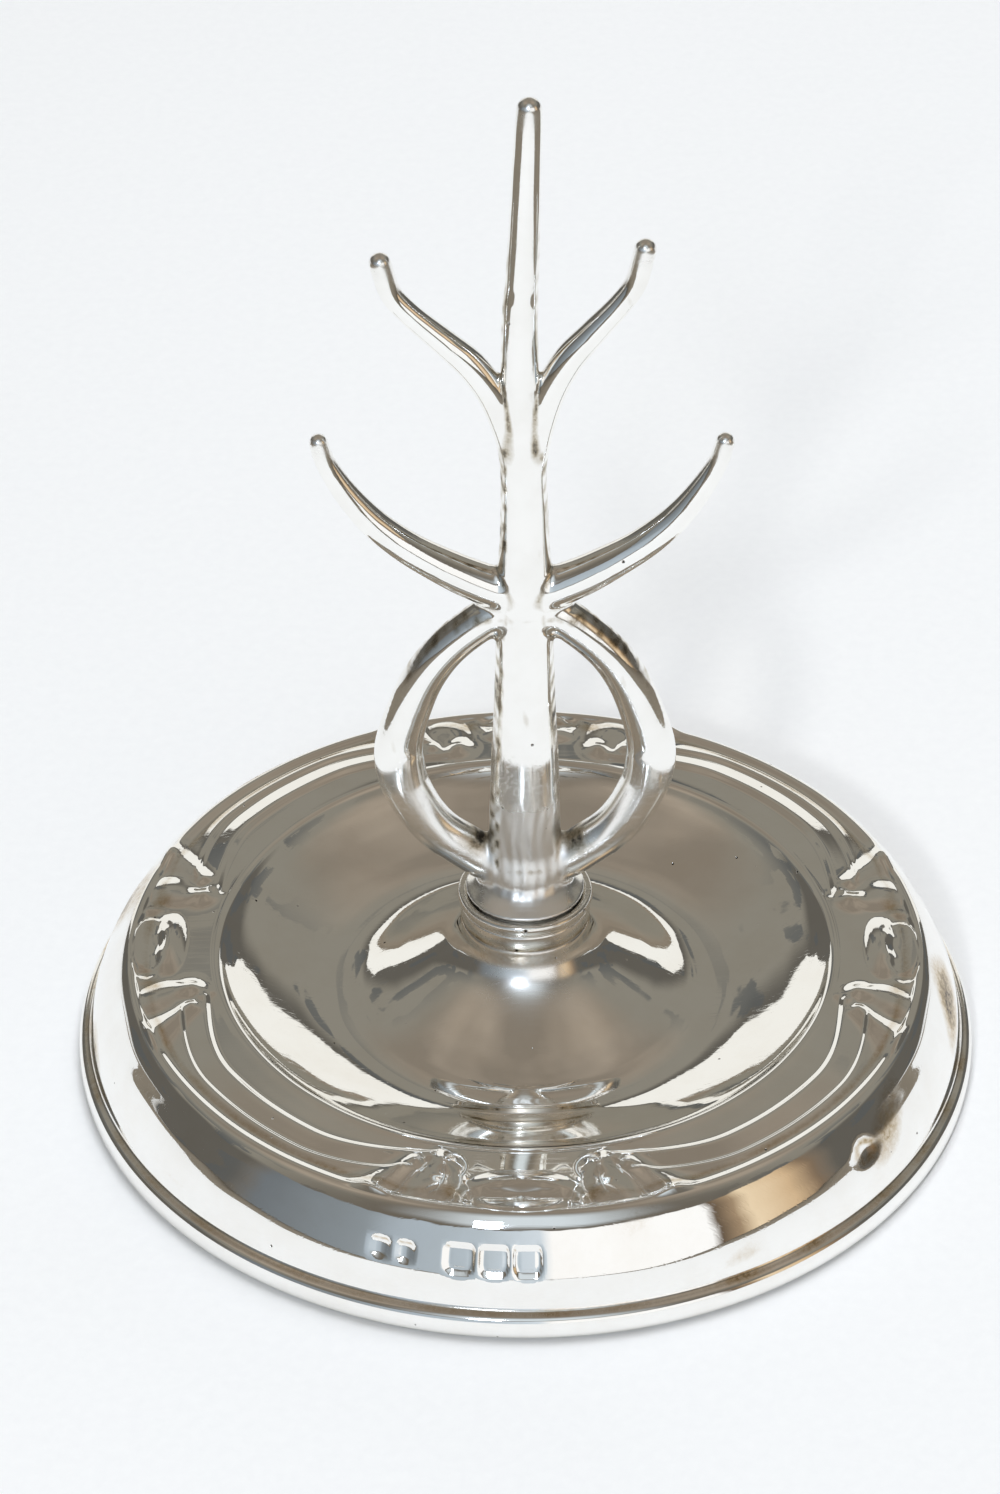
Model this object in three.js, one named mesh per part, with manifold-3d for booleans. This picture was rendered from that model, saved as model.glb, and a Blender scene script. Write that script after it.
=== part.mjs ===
// A silver ring tree. A round base of thin stamped silver, loaded with pitch, holds a cast tree:
// a tapering stem, a hoop low down and two pairs of arms for rings.
// Millimetres, +Z up. The stem stands on the Z axis, the tree lies in the XZ plane, the front is -Y.

import * as THREE from "three";
import Module from "manifold-3d";
import { mergeVertices } from "three/addons/utils/BufferGeometryUtils.js";

const wasm = await Module();
wasm.setup();

// Clearances
const solderGap = 0.3;
const beddingGap = 0.3;

// Felt and board under the base
const feltThickness = 1;
const feltInset = 0.5;
const boardThickness = 1.6;

// Shell of the base: sheet, foot and skirt
const sheetThickness = 0.5;
const footRadius = 38;
const footLift = 0.3;
const footRollHeight = 1.8;
const footRollRound = 0.45;
const footStepWidth = 0.65;
const hemInset = 1.1;
const hemHeight = 3;
const waistInset = 1.65;
const waistHeight = 5;
const hipInset = 2.25;
const hipHeight = 6.55;
const shoulderInset = 3.2;
const shoulderHeight = 8;

// Rim bead, groove and the two reeds inside it: the rim lies in from the foot, the rest in from the rim
const rimInset = 4.9;
const rimHeight = 9.85;
const rimBeadHalfWidth = 0.75;
const rimBeadDrop = 0.75;
const grooveWidth = 1;
const grooveHeight = 9.05;
const outerReedInset = 2.1;
const outerReedHeight = 9.95;
const innerReedInset = 3.4;
const innerReedHeight = 9.9;
const reedHalfWidth = 0.4;
const coveHeight = 9.55;
const reedSweep = 1.9;
const reedSweepStart = THREE.MathUtils.degToRad(11);
const reedSweepEnd = THREE.MathUtils.degToRad(35);

// Smooth border, lip and well of the dish, each ring lying in from the one outside it
const borderHeight = 9.45;
const lipInset = 6.95;
const lipHeight = 10.2;
const lipHalfWidth = 0.6;
const lipDrop = 0.45;
const wellInset = 10.15;
const wellHeight = 5.5;
const neckRadius = 5.4;
const neckHeight = 13.2;
const neckEdge = 0.3;
const neckBoreRadius = 2.6;
const coneFullnessShare = 1.25;

// Four stamped ornaments in from the rim: two horns, an oval boss and a cushion between them each
const ornamentCount = 4;
const ornamentTurn = THREE.MathUtils.degToRad(-1);
const hornHeight = 0.55;
const hornWidth = 0.55;
const hornOuterSpread = 4.9;
const hornOuterInset = 1.2;
const hornInnerSpread = 6.6;
const hornInnerInset = 4.7;
const bossHalfLength = 4.4;
const bossHalfWidth = 0.9;
const bossInset = 1.4;
const bossHeight = 0.85;
const cushionHeight = 0.35;

// Collar on the neck, and the rolled wire round its top
const collarBoreRadius = 4.75;
const collarHeight = 1.65;
const collarWireHeight = 1.05;
const collarWireOverhang = 0.25;

// Foot of the tree inside the collar, with a tang that goes down into the loading
const treeFootClearance = 0.35;
const treeFootHeight = 3.1;
const treeWaistRadius = 3.1;
const tangRadius = 2.2;
const tangLength = 5;

// Stem
const stemTop = 90.2;
const stemBottomWidth = 6.15;
const stemTopWidth = 1.8;
const stemDepthShare = 0.88;

// Hoop, which starts just above the foot of the stem
const hoopReach = 10.3;
const hoopBottomRise = 2;
const hoopHeight = 26.3;
const hoopWidestThickness = 4.1;
const hoopEndThickness = 3.3;
const hoopDepthShare = 0.9;

// Arms: reach is how far the tip's middle lies from the stem's axis. The lower arms start just above
// the hoop, the upper ones at a distance above them
const lowerArmRootRise = 1;
const lowerArmRootThickness = 3.6;
const lowerArmTipThickness = 1.4;
const leftLowerArmReach = 16.05;
const leftLowerArmRise = 14.4;
const rightLowerArmReach = 15.65;
const rightLowerArmRise = 14.3;
const upperArmRootRise = 12.9;
const upperArmRootThickness = 2.6;
const upperArmTipThickness = 1.7;
const leftUpperArmReach = 10.95;
const leftUpperArmRise = 17.6;
const rightUpperArmReach = 9.2;
const rightUpperArmRise = 18.7;
const armDepthShare = 0.95;

// Dish wall from the bottom of the well up to the lip, as shares of its width and of its height
const wallShares = [[0.293, 0.113], [0.576, 0.362], [0.827, 0.685], [1, 1]];

// Faces of the round pieces
const shellColumnShares = [0, 0.075, 0.15, 0.2, 0.24, 0.28, 0.35, 0.47, 0.62, 0.8];
const hornColumnShare = 0.24;
const fanEndShare = 0.62;
const turnedSides = 40;
const bedSides = 32;
const sweptSides = 12;
const armSteps = 13;
const hoopSteps = 19;
const stemSteps = 17;
const capRings = 3;

// Materials
const silver = { color: 0xe8e6e0, metalness: 1, roughness: 0.12 };
const tarnishedSilver = { color: 0xbdb8ad, metalness: 1, roughness: 0.25 };
const pitch = { color: 0x2b211a, metalness: 0, roughness: 0.7 };
const beech = { color: 0xa9814f, metalness: 0, roughness: 0.75 };
const baize = { color: 0x1f4a35, metalness: 0, roughness: 1 };

// Working values that several pieces share
const boardBottom = feltThickness;
const boardTop = boardBottom + boardThickness;
const footInnerRadius = footRadius - sheetThickness;
const hemRadius = footRadius - hemInset;
const rimRadius = footRadius - rimInset;
const outerReedRadius = rimRadius - outerReedInset;
const innerReedRadius = rimRadius - innerReedInset;
const hornOuterRadius = rimRadius - hornOuterInset;
const hornInnerRadius = rimRadius - hornInnerInset;
const bossRadius = rimRadius - bossInset;
const lipRadius = rimRadius - lipInset;
const wellRadius = lipRadius - wellInset;
const collarRadius = neckRadius;
const collarBottom = neckHeight;
const collarTop = collarBottom + collarHeight;
const treeFootRadius = collarBoreRadius - treeFootClearance;
const stemBottom = neckHeight + treeFootHeight;
const hoopBottomHeight = stemBottom + hoopBottomRise;
const hoopTopHeight = hoopBottomHeight + hoopHeight;
const lowerArmRootHeight = hoopTopHeight + lowerArmRootRise;
const upperArmRootHeight = lowerArmRootHeight + upperArmRootRise;

function smoothShare(value) {
  const share = Math.min(Math.max(value, 0), 1);
  return share * share * (3 - 2 * share);
}

function mix(from, to, share) {
  return from + (to - from) * share;
}

// A table of [share along, value share] pairs, read with straight lines between them
function readTable(table, along) {
  const last = table.length - 1;
  const next = Math.min(last, Math.max(1, table.findIndex((row) => row[0] >= along)));
  const upper = along > table[last][0] ? last : next;
  const [lowAt, lowValue] = table[upper - 1];
  const [highAt, highValue] = table[upper];
  return mix(lowValue, highValue, Math.min(1, Math.max(0, (along - lowAt) / (highAt - lowAt))));
}

function addMesh(group, name, geometry, look) {
  geometry.computeVertexNormals();
  const mesh = new THREE.Mesh(geometry, new THREE.MeshStandardMaterial(look));
  mesh.name = name;
  group.add(mesh);
  return mesh;
}

function geometryFrom(positions, indices) {
  const geometry = new THREE.BufferGeometry();
  geometry.setAttribute("position", new THREE.Float32BufferAttribute(positions, 3));
  geometry.setIndex(indices);
  return geometry;
}

function toSolid(geometry) {
  const bare = geometry.clone();
  bare.deleteAttribute("normal");
  bare.deleteAttribute("uv");
  const merged = mergeVertices(bare);
  const vertProperties = new Float32Array(merged.attributes.position.array);
  const triVerts = new Uint32Array(merged.index.array);
  return new wasm.Manifold(new wasm.Mesh({ numProp: 3, vertProperties, triVerts }));
}

function fromSolid(solid) {
  const mesh = solid.getMesh();
  return geometryFrom(Array.from(mesh.vertProperties), Array.from(mesh.triVerts));
}

function cut(geometry, cutters) {
  let solid = toSolid(geometry);
  for (const cutter of cutters) {
    solid = solid.subtract(toSolid(cutter));
  }
  return fromSolid(solid);
}

function turned(profile, sides) {
  const points = profile.map(([radius, height]) => new THREE.Vector2(radius, height));
  const geometry = new THREE.LatheGeometry(points, sides);
  geometry.rotateX(Math.PI / 2);
  return geometry;
}

// Angle from the nearest ornament's middle, between plus and minus half their spacing
function angleFromOrnament(angle) {
  const spacing = (2 * Math.PI) / ornamentCount;
  const turns = (angle - ornamentTurn) / spacing;
  return (turns - Math.round(turns)) * spacing;
}

// How far the reeds are drawn in: 1 at an ornament, 0 midway between two
function sweepShare(angle) {
  const away = Math.abs(angleFromOrnament(angle));
  return 1 - smoothShare((away - reedSweepStart) / (reedSweepEnd - reedSweepStart));
}

// Share of the way in along a horn, from its outer end to its tip
function hornShare(radius) {
  return (hornOuterRadius - radius) / (hornOuterRadius - hornInnerRadius);
}

function hornSpread(radius) {
  return mix(hornOuterSpread, hornInnerSpread, Math.min(Math.max(hornShare(radius), 0), 1));
}

function hornRelief(along, radius) {
  const side = Math.abs(along);
  const slopeShare = hornShare(radius);
  const held = Math.min(Math.max(slopeShare, 0), 1);
  const ridge = hornSpread(radius);
  const beyond = (slopeShare - held) * (hornOuterRadius - hornInnerRadius);
  const distance = Math.hypot(side - ridge, beyond) / hornWidth;
  return hornHeight * Math.exp(-distance * distance);
}

function bossRelief(along, radius) {
  const acrossShare = (radius - bossRadius) / bossHalfWidth;
  const alongShare = along / bossHalfLength;
  return bossHeight * Math.sqrt(Math.max(0, 1 - acrossShare * acrossShare - alongShare * alongShare));
}

function cushionRelief(along, radius) {
  const insideHorns = 1 - smoothShare((Math.abs(along) - hornOuterSpread + hornWidth) / hornWidth);
  const middle = (hornInnerRadius + bossRadius - bossHalfWidth) / 2;
  const reach = bossRadius - bossHalfWidth - middle;
  const insideRing = 1 - smoothShare(Math.abs(radius - middle) / reach);
  return cushionHeight * insideHorns * insideRing;
}

function ornamentRelief(angle, radius) {
  const along = angleFromOrnament(angle) * radius;
  return hornRelief(along, radius) + bossRelief(along, radius) + cushionRelief(along, radius);
}

// Top surface of the shell from the neck's bore outwards, as stations. out and down point from the
// top surface into the sheet, as shares of its thickness. Only stations with them shape the underside.
// sweep is the share of the reeds' sweep that a station follows, relief is 1 where ornaments stand.
function shellStations() {
  const stations = [];
  const add = (radius, height, more = {}) => stations.push({ radius, height, sweep: 0, relief: 0, ...more });
  add(neckBoreRadius, neckHeight, { out: 0, down: -1 });
  add(neckRadius - neckEdge, neckHeight);
  add(neckRadius, neckHeight - neckEdge, { out: -1, down: -1 });
  const coneTop = neckHeight - neckEdge;
  const coneShares = [0.2, 0.45, 0.72, 1];
  for (const share of coneShares) {
    const turn = (share * Math.PI) / 2;
    const radius = wellRadius - (wellRadius - neckRadius) * Math.cos(turn) ** coneFullnessShare;
    const height = coneTop - (coneTop - wellHeight) * Math.sin(turn) ** coneFullnessShare;
    add(radius, height, { out: -Math.cos(turn), down: -Math.sin(turn) });
  }
  const wallTop = lipHeight - lipDrop;
  const wallRadius = lipRadius - lipHalfWidth;
  for (const [acrossShare, upShare] of wallShares) {
    const under = { out: 0.8 * upShare, down: -1 };
    add(mix(wellRadius, wallRadius, acrossShare), mix(wellHeight, wallTop, upShare), under);
  }
  add(lipRadius, lipHeight);
  add(lipRadius + lipHalfWidth, lipHeight - lipDrop, { out: 0.2, down: -1.8 });
  add(innerReedRadius - 2 * reedHalfWidth, borderHeight, { sweep: 1, relief: 1 });
  add(innerReedRadius, innerReedHeight, { sweep: 1, relief: 1 });
  add((innerReedRadius + outerReedRadius) / 2, coveHeight, { sweep: 1, relief: 1, out: 0, down: -2.1 });
  add(outerReedRadius, outerReedHeight, { sweep: 1, relief: 1 });
  add(outerReedRadius + reedHalfWidth, grooveHeight, { sweep: 1, relief: 1 });
  const grooveOuter = rimRadius - rimBeadHalfWidth;
  const grooveInner = grooveOuter - grooveWidth;
  add(mix(grooveInner, grooveOuter, 0.3), grooveHeight, { sweep: 0.6, relief: 1 });
  add(mix(grooveInner, grooveOuter, 0.65), grooveHeight, { sweep: 0.25, relief: 1 });
  add(grooveOuter, grooveHeight, { relief: 1, out: 0, down: -1.1 });
  add(rimRadius - rimBeadHalfWidth / 2, rimHeight - rimBeadDrop / 5);
  add(rimRadius + rimBeadHalfWidth / 5, rimHeight, { out: -0.4, down: -1.8 });
  add(rimRadius + rimBeadHalfWidth * 0.8, rimHeight - rimBeadDrop / 2);
  add(footRadius - shoulderInset, shoulderHeight, { out: -0.8, down: -0.6 });
  add(footRadius - hipInset, hipHeight, { out: -0.9, down: -0.4 });
  add(footRadius - waistInset, waistHeight, { out: -1, down: -0.2 });
  add(hemRadius, hemHeight, { out: -1, down: -0.1 });
  const rollTop = footLift + footRollHeight;
  const stepRadius = hemRadius + (footStepWidth - footRollRound);
  add(stepRadius, rollTop + footRollRound / 2, { out: -0.7, down: -0.8 });
  add(footRadius - footRollRound, rollTop);
  add(footRadius, rollTop - footRollRound, { out: -1, down: 0 });
  add(footRadius, footLift);
  return stations;
}

function stationPoint(station, column) {
  const swept = sweepShare(columnAngle(column, station.radius));
  const radius = station.radius - reedSweep * station.sweep * swept;
  const angle = columnAngle(column, radius);
  const relief = station.relief ? ornamentRelief(angle, radius) : 0;
  return [radius * Math.cos(angle), radius * Math.sin(angle), station.height + relief];
}

function undersidePoint([radius, height], column) {
  const angle = columnAngle(column, radius);
  return [radius * Math.cos(angle), radius * Math.sin(angle), height];
}

// Underside of the shell at a depth below the top surface, from the foot back to the neck
function undersideProfile(depth, bottom) {
  const profile = [[footRadius - depth, bottom]];
  for (const station of shellStations().reverse()) {
    if (station.out !== undefined) {
      profile.push([station.radius + station.out * depth, station.height + station.down * depth]);
    }
  }
  return profile;
}

// Columns of the shell: the ornament each belongs to, and its place from there to halfway to the next
function shellColumns() {
  const columns = [];
  for (let quarter = 0; quarter < ornamentCount; quarter += 1) {
    const middle = ornamentTurn + (2 * Math.PI * quarter) / ornamentCount;
    const back = shellColumnShares.slice(1).reverse().map((share) => ({ middle, side: -1, share }));
    const ahead = shellColumnShares.map((share) => ({ middle, side: 1, share }));
    columns.push(...back, ...ahead, { middle, side: 1, share: 1 });
  }
  return columns;
}

// Angle of a column at a radius: one column follows the ridge of each horn, its neighbours fan with it
function columnAngle(column, radius) {
  const half = Math.PI / ornamentCount;
  const held = Math.min(Math.max(radius, hornInnerRadius), hornOuterRadius);
  const hornAngle = hornSpread(held) / held;
  if (column.share <= hornColumnShare) {
    return column.middle + column.side * (column.share / hornColumnShare) * hornAngle;
  }
  const fanShare = (column.share - hornColumnShare) / (fanEndShare - hornColumnShare);
  const fanned = mix(hornAngle, fanEndShare * half, Math.min(fanShare, 1));
  return column.middle + column.side * (column.share < fanEndShare ? fanned : column.share * half);
}

function baseShell() {
  const stations = shellStations();
  const underside = undersideProfile(sheetThickness, footLift);
  const columns = shellColumns();
  const positions = [];
  for (const column of columns) {
    const top = stations.map((station) => stationPoint(station, column));
    const bottom = underside.map((point) => undersidePoint(point, column));
    positions.push(...top.flat(), ...bottom.flat());
  }
  const around = stations.length + underside.length;
  const indices = [];
  for (let column = 0; column < columns.length; column += 1) {
    const nextColumn = (column + 1) % columns.length;
    for (let row = 0; row < around; row += 1) {
      const nextRow = (row + 1) % around;
      const a = column * around + row;
      const b = column * around + nextRow;
      const c = nextColumn * around + nextRow;
      const d = nextColumn * around + row;
      indices.push(a, b, d, b, c, d);
    }
  }
  return geometryFrom(positions, indices);
}

function loadingCore() {
  const depth = sheetThickness + beddingGap;
  const top = undersideProfile(depth, boardTop);
  const bore = tangRadius + beddingGap;
  const boreBottom = neckHeight - tangLength - beddingGap;
  const inner = top.filter(([radius, height]) => radius > bore + beddingGap && height > boardTop);
  const profile = [[0, boardTop], [inner[0][0], boardTop]].concat(inner);
  const crown = neckHeight - depth;
  profile.push([bore, crown], [bore, boreBottom], [0, boreBottom]);
  return turned(profile, bedSides);
}

function disc(radius, bottom, top) {
  return turned([[0, bottom], [radius, bottom], [radius, top], [0, top]], turnedSides);
}

function baseBoard() {
  return disc(hemRadius - sheetThickness - beddingGap, boardBottom, boardTop);
}

function baizePad() {
  return disc(footInnerRadius - feltInset, 0, feltThickness);
}

function neckCollar() {
  const bottomIn = [collarBoreRadius, collarBottom];
  const bottomOut = [collarRadius, collarBottom];
  const topOut = [collarRadius, collarTop];
  const topIn = [collarBoreRadius, collarTop];
  return turned([bottomIn, bottomOut, topOut, topIn, bottomIn], turnedSides);
}

function collarWire() {
  const middle = collarTop + collarWireHeight / 2;
  const half = collarWireHeight / 2;
  const outer = collarRadius + collarWireOverhang;
  const bulge = outer - collarRadius;
  const profile = [[collarBoreRadius, collarTop], [collarRadius, collarTop]];
  for (const turnShare of [-0.33, 0, 0.33]) {
    const turn = turnShare * Math.PI;
    profile.push([collarRadius + bulge * Math.cos(turn), middle + half * Math.sin(turn)]);
  }
  profile.push([mix(collarBoreRadius, collarRadius, 0.7), collarTop + collarWireHeight]);
  profile.push([collarBoreRadius, middle + half * 0.5]);
  profile.push([collarBoreRadius, collarTop]);
  return turned(profile, turnedSides);
}

function treeFoot() {
  const tangBottom = neckHeight - tangLength;
  const domeHeightShares = [0, 0.35, 0.6, 0.8, 0.92];
  const domeBulgeShares = [1, 0.97, 0.76, 0.42, 0.14];
  const profile = [[0, tangBottom], [tangRadius, tangBottom], [tangRadius, neckHeight]];
  domeHeightShares.forEach((share, index) => {
    const radius = mix(treeWaistRadius, treeFootRadius, domeBulgeShares[index]);
    profile.push([radius, neckHeight + treeFootHeight * share]);
  });
  profile.push([treeWaistRadius, stemBottom], [0, stemBottom]);
  return turned(profile, turnedSides);
}

// A round bar along a curve in the XZ plane. Its thickness follows a table along the curve, and each
// end is a round cap or a flat one. grow adds the same clearance all round.
function sweptBar(curve, thicknessAt, depthShare, steps, caps, grow = 0) {
  const rings = [];
  const ringAt = (along, scale, push) => {
    const centre = curve.getPointAt(along);
    const tangent = curve.getTangentAt(along);
    const half = (thicknessAt(along) / 2 + grow) * scale;
    const side = new THREE.Vector3(-tangent.z, 0, tangent.x);
    rings.push({ centre: centre.addScaledVector(tangent, push), side, half });
  };
  const capTurn = (index) => (index / (capRings + 1)) * (Math.PI / 2);
  const endHalf = (along) => thicknessAt(along) / 2 + grow;
  if (caps.start) {
    for (let index = capRings; index > 0; index -= 1) {
      ringAt(0, Math.cos(capTurn(index)), -endHalf(0) * Math.sin(capTurn(index)));
    }
  }
  for (let step = 0; step <= steps; step += 1) {
    ringAt(step / steps, 1, 0);
  }
  if (caps.end) {
    for (let index = 1; index <= capRings; index += 1) {
      ringAt(1, Math.cos(capTurn(index)), endHalf(1) * Math.sin(capTurn(index)));
    }
  }
  const positions = [];
  for (const ring of rings) {
    for (let index = 0; index < sweptSides; index += 1) {
      const turn = ((index + 0.5) / sweptSides) * 2 * Math.PI;
      const across = ring.side.clone().multiplyScalar(ring.half * Math.cos(turn));
      const depth = ring.half * depthShare * Math.sin(turn);
      positions.push(ring.centre.x + across.x, ring.centre.y + depth, ring.centre.z + across.z);
    }
  }
  const startPole = positions.length / 3;
  const first = curve.getPointAt(0).addScaledVector(curve.getTangentAt(0), caps.start ? -endHalf(0) : 0);
  positions.push(first.x, first.y, first.z);
  const endPole = startPole + 1;
  const last = curve.getPointAt(1).addScaledVector(curve.getTangentAt(1), caps.end ? endHalf(1) : 0);
  positions.push(last.x, last.y, last.z);
  const indices = [];
  for (let ring = 0; ring + 1 < rings.length; ring += 1) {
    for (let index = 0; index < sweptSides; index += 1) {
      const next = (index + 1) % sweptSides;
      const a = ring * sweptSides + index;
      const b = ring * sweptSides + next;
      const c = b + sweptSides;
      const d = a + sweptSides;
      indices.push(a, d, b, b, d, c);
    }
  }
  const lastRing = (rings.length - 1) * sweptSides;
  for (let index = 0; index < sweptSides; index += 1) {
    const next = (index + 1) % sweptSides;
    indices.push(startPole, index, next);
    indices.push(endPole, lastRing + next, lastRing + index);
  }
  return geometryFrom(positions, indices);
}

function planeCurve(points) {
  return new THREE.CatmullRomCurve3(points.map(([across, height]) => new THREE.Vector3(across, 0, height)));
}

// Width of the stem, as a share between its top and bottom widths, at shares of its height
const stemWidthShares = [
  [0, 1],
  [0.12, 0.92],
  [0.19, 0.85],
  [0.255, 0.735],
  [0.32, 0.67],
  [0.44, 0.55],
  [0.52, 0.44],
  [0.6, 0.36],
  [0.7, 0.24],
  [0.77, 0.2],
  [0.785, 0.165],
  [0.88, 0.11],
  [0.955, 0.06],
  [1, 0],
];

function stem(grow = 0) {
  const top = stemTop - stemTopWidth / 2;
  const curve = planeCurve([[0, stemBottom], [0, mix(stemBottom, top, 0.5)], [0, top]]);
  const widthAt = (along) => mix(stemTopWidth, stemBottomWidth, readTable(stemWidthShares, along));
  return sweptBar(curve, widthAt, stemDepthShare, stemSteps, { start: false, end: true }, grow);
}

// Middle line of half the hoop, as shares of its reach and of its height from bottom to top
const hoopPathShares = [
  [0.06, 1],
  [0.23, 0.965],
  [0.35, 0.935],
  [0.545, 0.866],
  [0.69, 0.798],
  [0.815, 0.711],
  [0.917, 0.605],
  [0.985, 0.506],
  [1, 0.437],
  [0.983, 0.365],
  [0.946, 0.312],
  [0.825, 0.213],
  [0.68, 0.137],
  [0.515, 0.084],
  [0.32, 0.03],
  [0.06, 0],
];

// Thickness of the hoop between its ends and its widest part, along its length from the top
const hoopThicknessShares = [
  [0, 0.1],
  [0.3, 0],
  [0.42, 0.2],
  [0.52, 1],
  [0.6, 0.95],
  [0.72, 0.5],
  [0.85, 0.7],
  [1, 0.85],
];

function hoopHalf(side, grow = 0) {
  const points = hoopPathShares.map(([reach, rise]) => {
    return [side * reach * hoopReach, hoopBottomHeight + rise * hoopHeight];
  });
  const thicknessAt = (along) => {
    return mix(hoopEndThickness, hoopWidestThickness, readTable(hoopThicknessShares, along));
  };
  return sweptBar(planeCurve(points), thicknessAt, hoopDepthShare, hoopSteps, { start: false, end: false }, grow);
}

// Middle lines of the arms, as shares of their reach and rise, and their taper from tip to root
const lowerArmPathShares = [
  [0.02, 0],
  [0.12, 0.035],
  [0.24, 0.09],
  [0.375, 0.17],
  [0.57, 0.308],
  [0.715, 0.445],
  [0.807, 0.565],
  [0.896, 0.715],
  [0.973, 0.885],
  [1, 1],
];
const lowerArmTaperShares = [
  [0, 1],
  [0.2, 0.88],
  [0.45, 0.66],
  [0.62, 0.53],
  [0.75, 0.38],
  [0.86, 0.2],
  [1, 0],
];
const upperArmPathShares = [
  [0.07, 0],
  [0.12, 0.155],
  [0.225, 0.335],
  [0.376, 0.483],
  [0.575, 0.607],
  [0.795, 0.74],
  [0.93, 0.85],
  [1, 1],
];
const upperArmTaperShares = [
  [0, 0.9],
  [0.3, 0.9],
  [0.45, 0.8],
  [0.65, 0.42],
  [1, 0],
];

function arm(side, root, reach, rise, pathShares, taperShares, tipThickness, rootThickness, grow = 0) {
  const points = pathShares.map(([out, up]) => [side * out * reach, root + up * rise]);
  const thicknessAt = (along) => mix(tipThickness, rootThickness, readTable(taperShares, along));
  return sweptBar(planeCurve(points), thicknessAt, armDepthShare, armSteps, { start: false, end: true }, grow);
}

function lowerArm(side, reach, rise, grow = 0) {
  const tip = lowerArmTipThickness;
  const root = lowerArmRootThickness;
  return arm(side, lowerArmRootHeight, reach, rise, lowerArmPathShares, lowerArmTaperShares, tip, root, grow);
}

function upperArm(side, reach, rise, grow = 0) {
  const tip = upperArmTipThickness;
  const root = upperArmRootThickness;
  return arm(side, upperArmRootHeight, reach, rise, upperArmPathShares, upperArmTaperShares, tip, root, grow);
}

const left = -1;
const right = 1;
const tree = new THREE.Group();
addMesh(tree, "baize_pad", baizePad(), baize);
addMesh(tree, "base_board", baseBoard(), beech);
addMesh(tree, "loading_core", loadingCore(), pitch);
addMesh(tree, "base_shell", baseShell(), silver);
addMesh(tree, "neck_collar", neckCollar(), tarnishedSilver);
addMesh(tree, "collar_wire", collarWire(), silver);
addMesh(tree, "tree_foot", treeFoot(), silver);
addMesh(tree, "stem", stem(), silver);

// Each arm and hoop half is cut back from the stem, and the hoop also from the arms above it
const stemCutter = stem(solderGap);
const leftArmCutter = lowerArm(left, leftLowerArmReach, leftLowerArmRise, solderGap);
const rightArmCutter = lowerArm(right, rightLowerArmReach, rightLowerArmRise, solderGap);
addMesh(tree, "hoop_left", cut(hoopHalf(left), [stemCutter, leftArmCutter]), silver);
addMesh(tree, "hoop_right", cut(hoopHalf(right), [stemCutter, rightArmCutter]), silver);
const leftLower = lowerArm(left, leftLowerArmReach, leftLowerArmRise);
const rightLower = lowerArm(right, rightLowerArmReach, rightLowerArmRise);
addMesh(tree, "lower_arm_left", cut(leftLower, [stemCutter]), silver);
addMesh(tree, "lower_arm_right", cut(rightLower, [stemCutter]), silver);
const leftUpper = upperArm(left, leftUpperArmReach, leftUpperArmRise);
const rightUpper = upperArm(right, rightUpperArmReach, rightUpperArmRise);
addMesh(tree, "upper_arm_left", cut(leftUpper, [stemCutter]), silver);
addMesh(tree, "upper_arm_right", cut(rightUpper, [stemCutter]), silver);

export default tree;
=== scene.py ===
"""A silver ring tree: a round base of thin stamped sheet, and a cast tree of a stem, a hoop and four arms."""

import math

import bpy
import numpy as np
from mathutils import Matrix, Vector


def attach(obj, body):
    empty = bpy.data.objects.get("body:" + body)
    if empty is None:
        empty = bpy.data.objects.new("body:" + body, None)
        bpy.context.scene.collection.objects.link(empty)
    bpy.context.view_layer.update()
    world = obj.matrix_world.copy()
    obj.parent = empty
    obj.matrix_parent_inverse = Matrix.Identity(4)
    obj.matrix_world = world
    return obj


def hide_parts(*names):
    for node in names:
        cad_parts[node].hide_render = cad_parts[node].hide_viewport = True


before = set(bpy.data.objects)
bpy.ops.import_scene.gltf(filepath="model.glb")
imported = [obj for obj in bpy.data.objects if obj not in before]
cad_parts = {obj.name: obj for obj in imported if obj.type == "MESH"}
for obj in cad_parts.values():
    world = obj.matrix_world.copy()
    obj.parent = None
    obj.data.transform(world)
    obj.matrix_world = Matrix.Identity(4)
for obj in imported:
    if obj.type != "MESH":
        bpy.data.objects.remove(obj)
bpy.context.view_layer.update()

MM = 0.001  # the tables below are in millimetres, as a silversmith would give them

# ---------------------------------------------------------------- sizes of the base, in millimetres
ORNAMENTS, ORNAMENT_TURN = 4, math.radians(-1)
REED_SWEEP = 1.9  # how far the reeds are drawn in at an ornament
SWEEP_START, SWEEP_END = math.radians(11), math.radians(35)
SWEEP_RADII, SWEEP_SHARES = [26.3, 28.9, 31.9, 32.5], [0, 1, 1, 0]  # what part of the border is drawn in
# radius and height from the neck down the cone to the bottom of the well
CONE_ROWS = [
    (5.42, 12.6), (5.44, 12.2), (5.5, 11.8), (5.66, 11.35), (5.9, 10.9), (6.15, 10.53), (6.4, 10.22), (6.7, 9.93),
    (7.0, 9.68), (7.5, 9.32), (8.0, 9.0), (9.0, 8.39), (10.0, 7.8), (10.75, 7.38), (11.5, 6.96), (12.2, 6.6),
    (12.8, 6.31), (13.4, 6.05), (13.9, 5.86), (14.4, 5.72), (15.0, 5.6), (15.6, 5.53), (16.0, 5.5),
]
# radius and height up the dish's wall
WALL_ROWS = [
    (16, 5.5), (17.3, 5.62), (18.8, 5.98), (20.2, 6.47), (21.5, 7.0), (22.6, 7.5), (23.9, 8.19), (24.6, 8.62),
    (25.1, 9.0), (25.35, 9.22),
]
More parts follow.
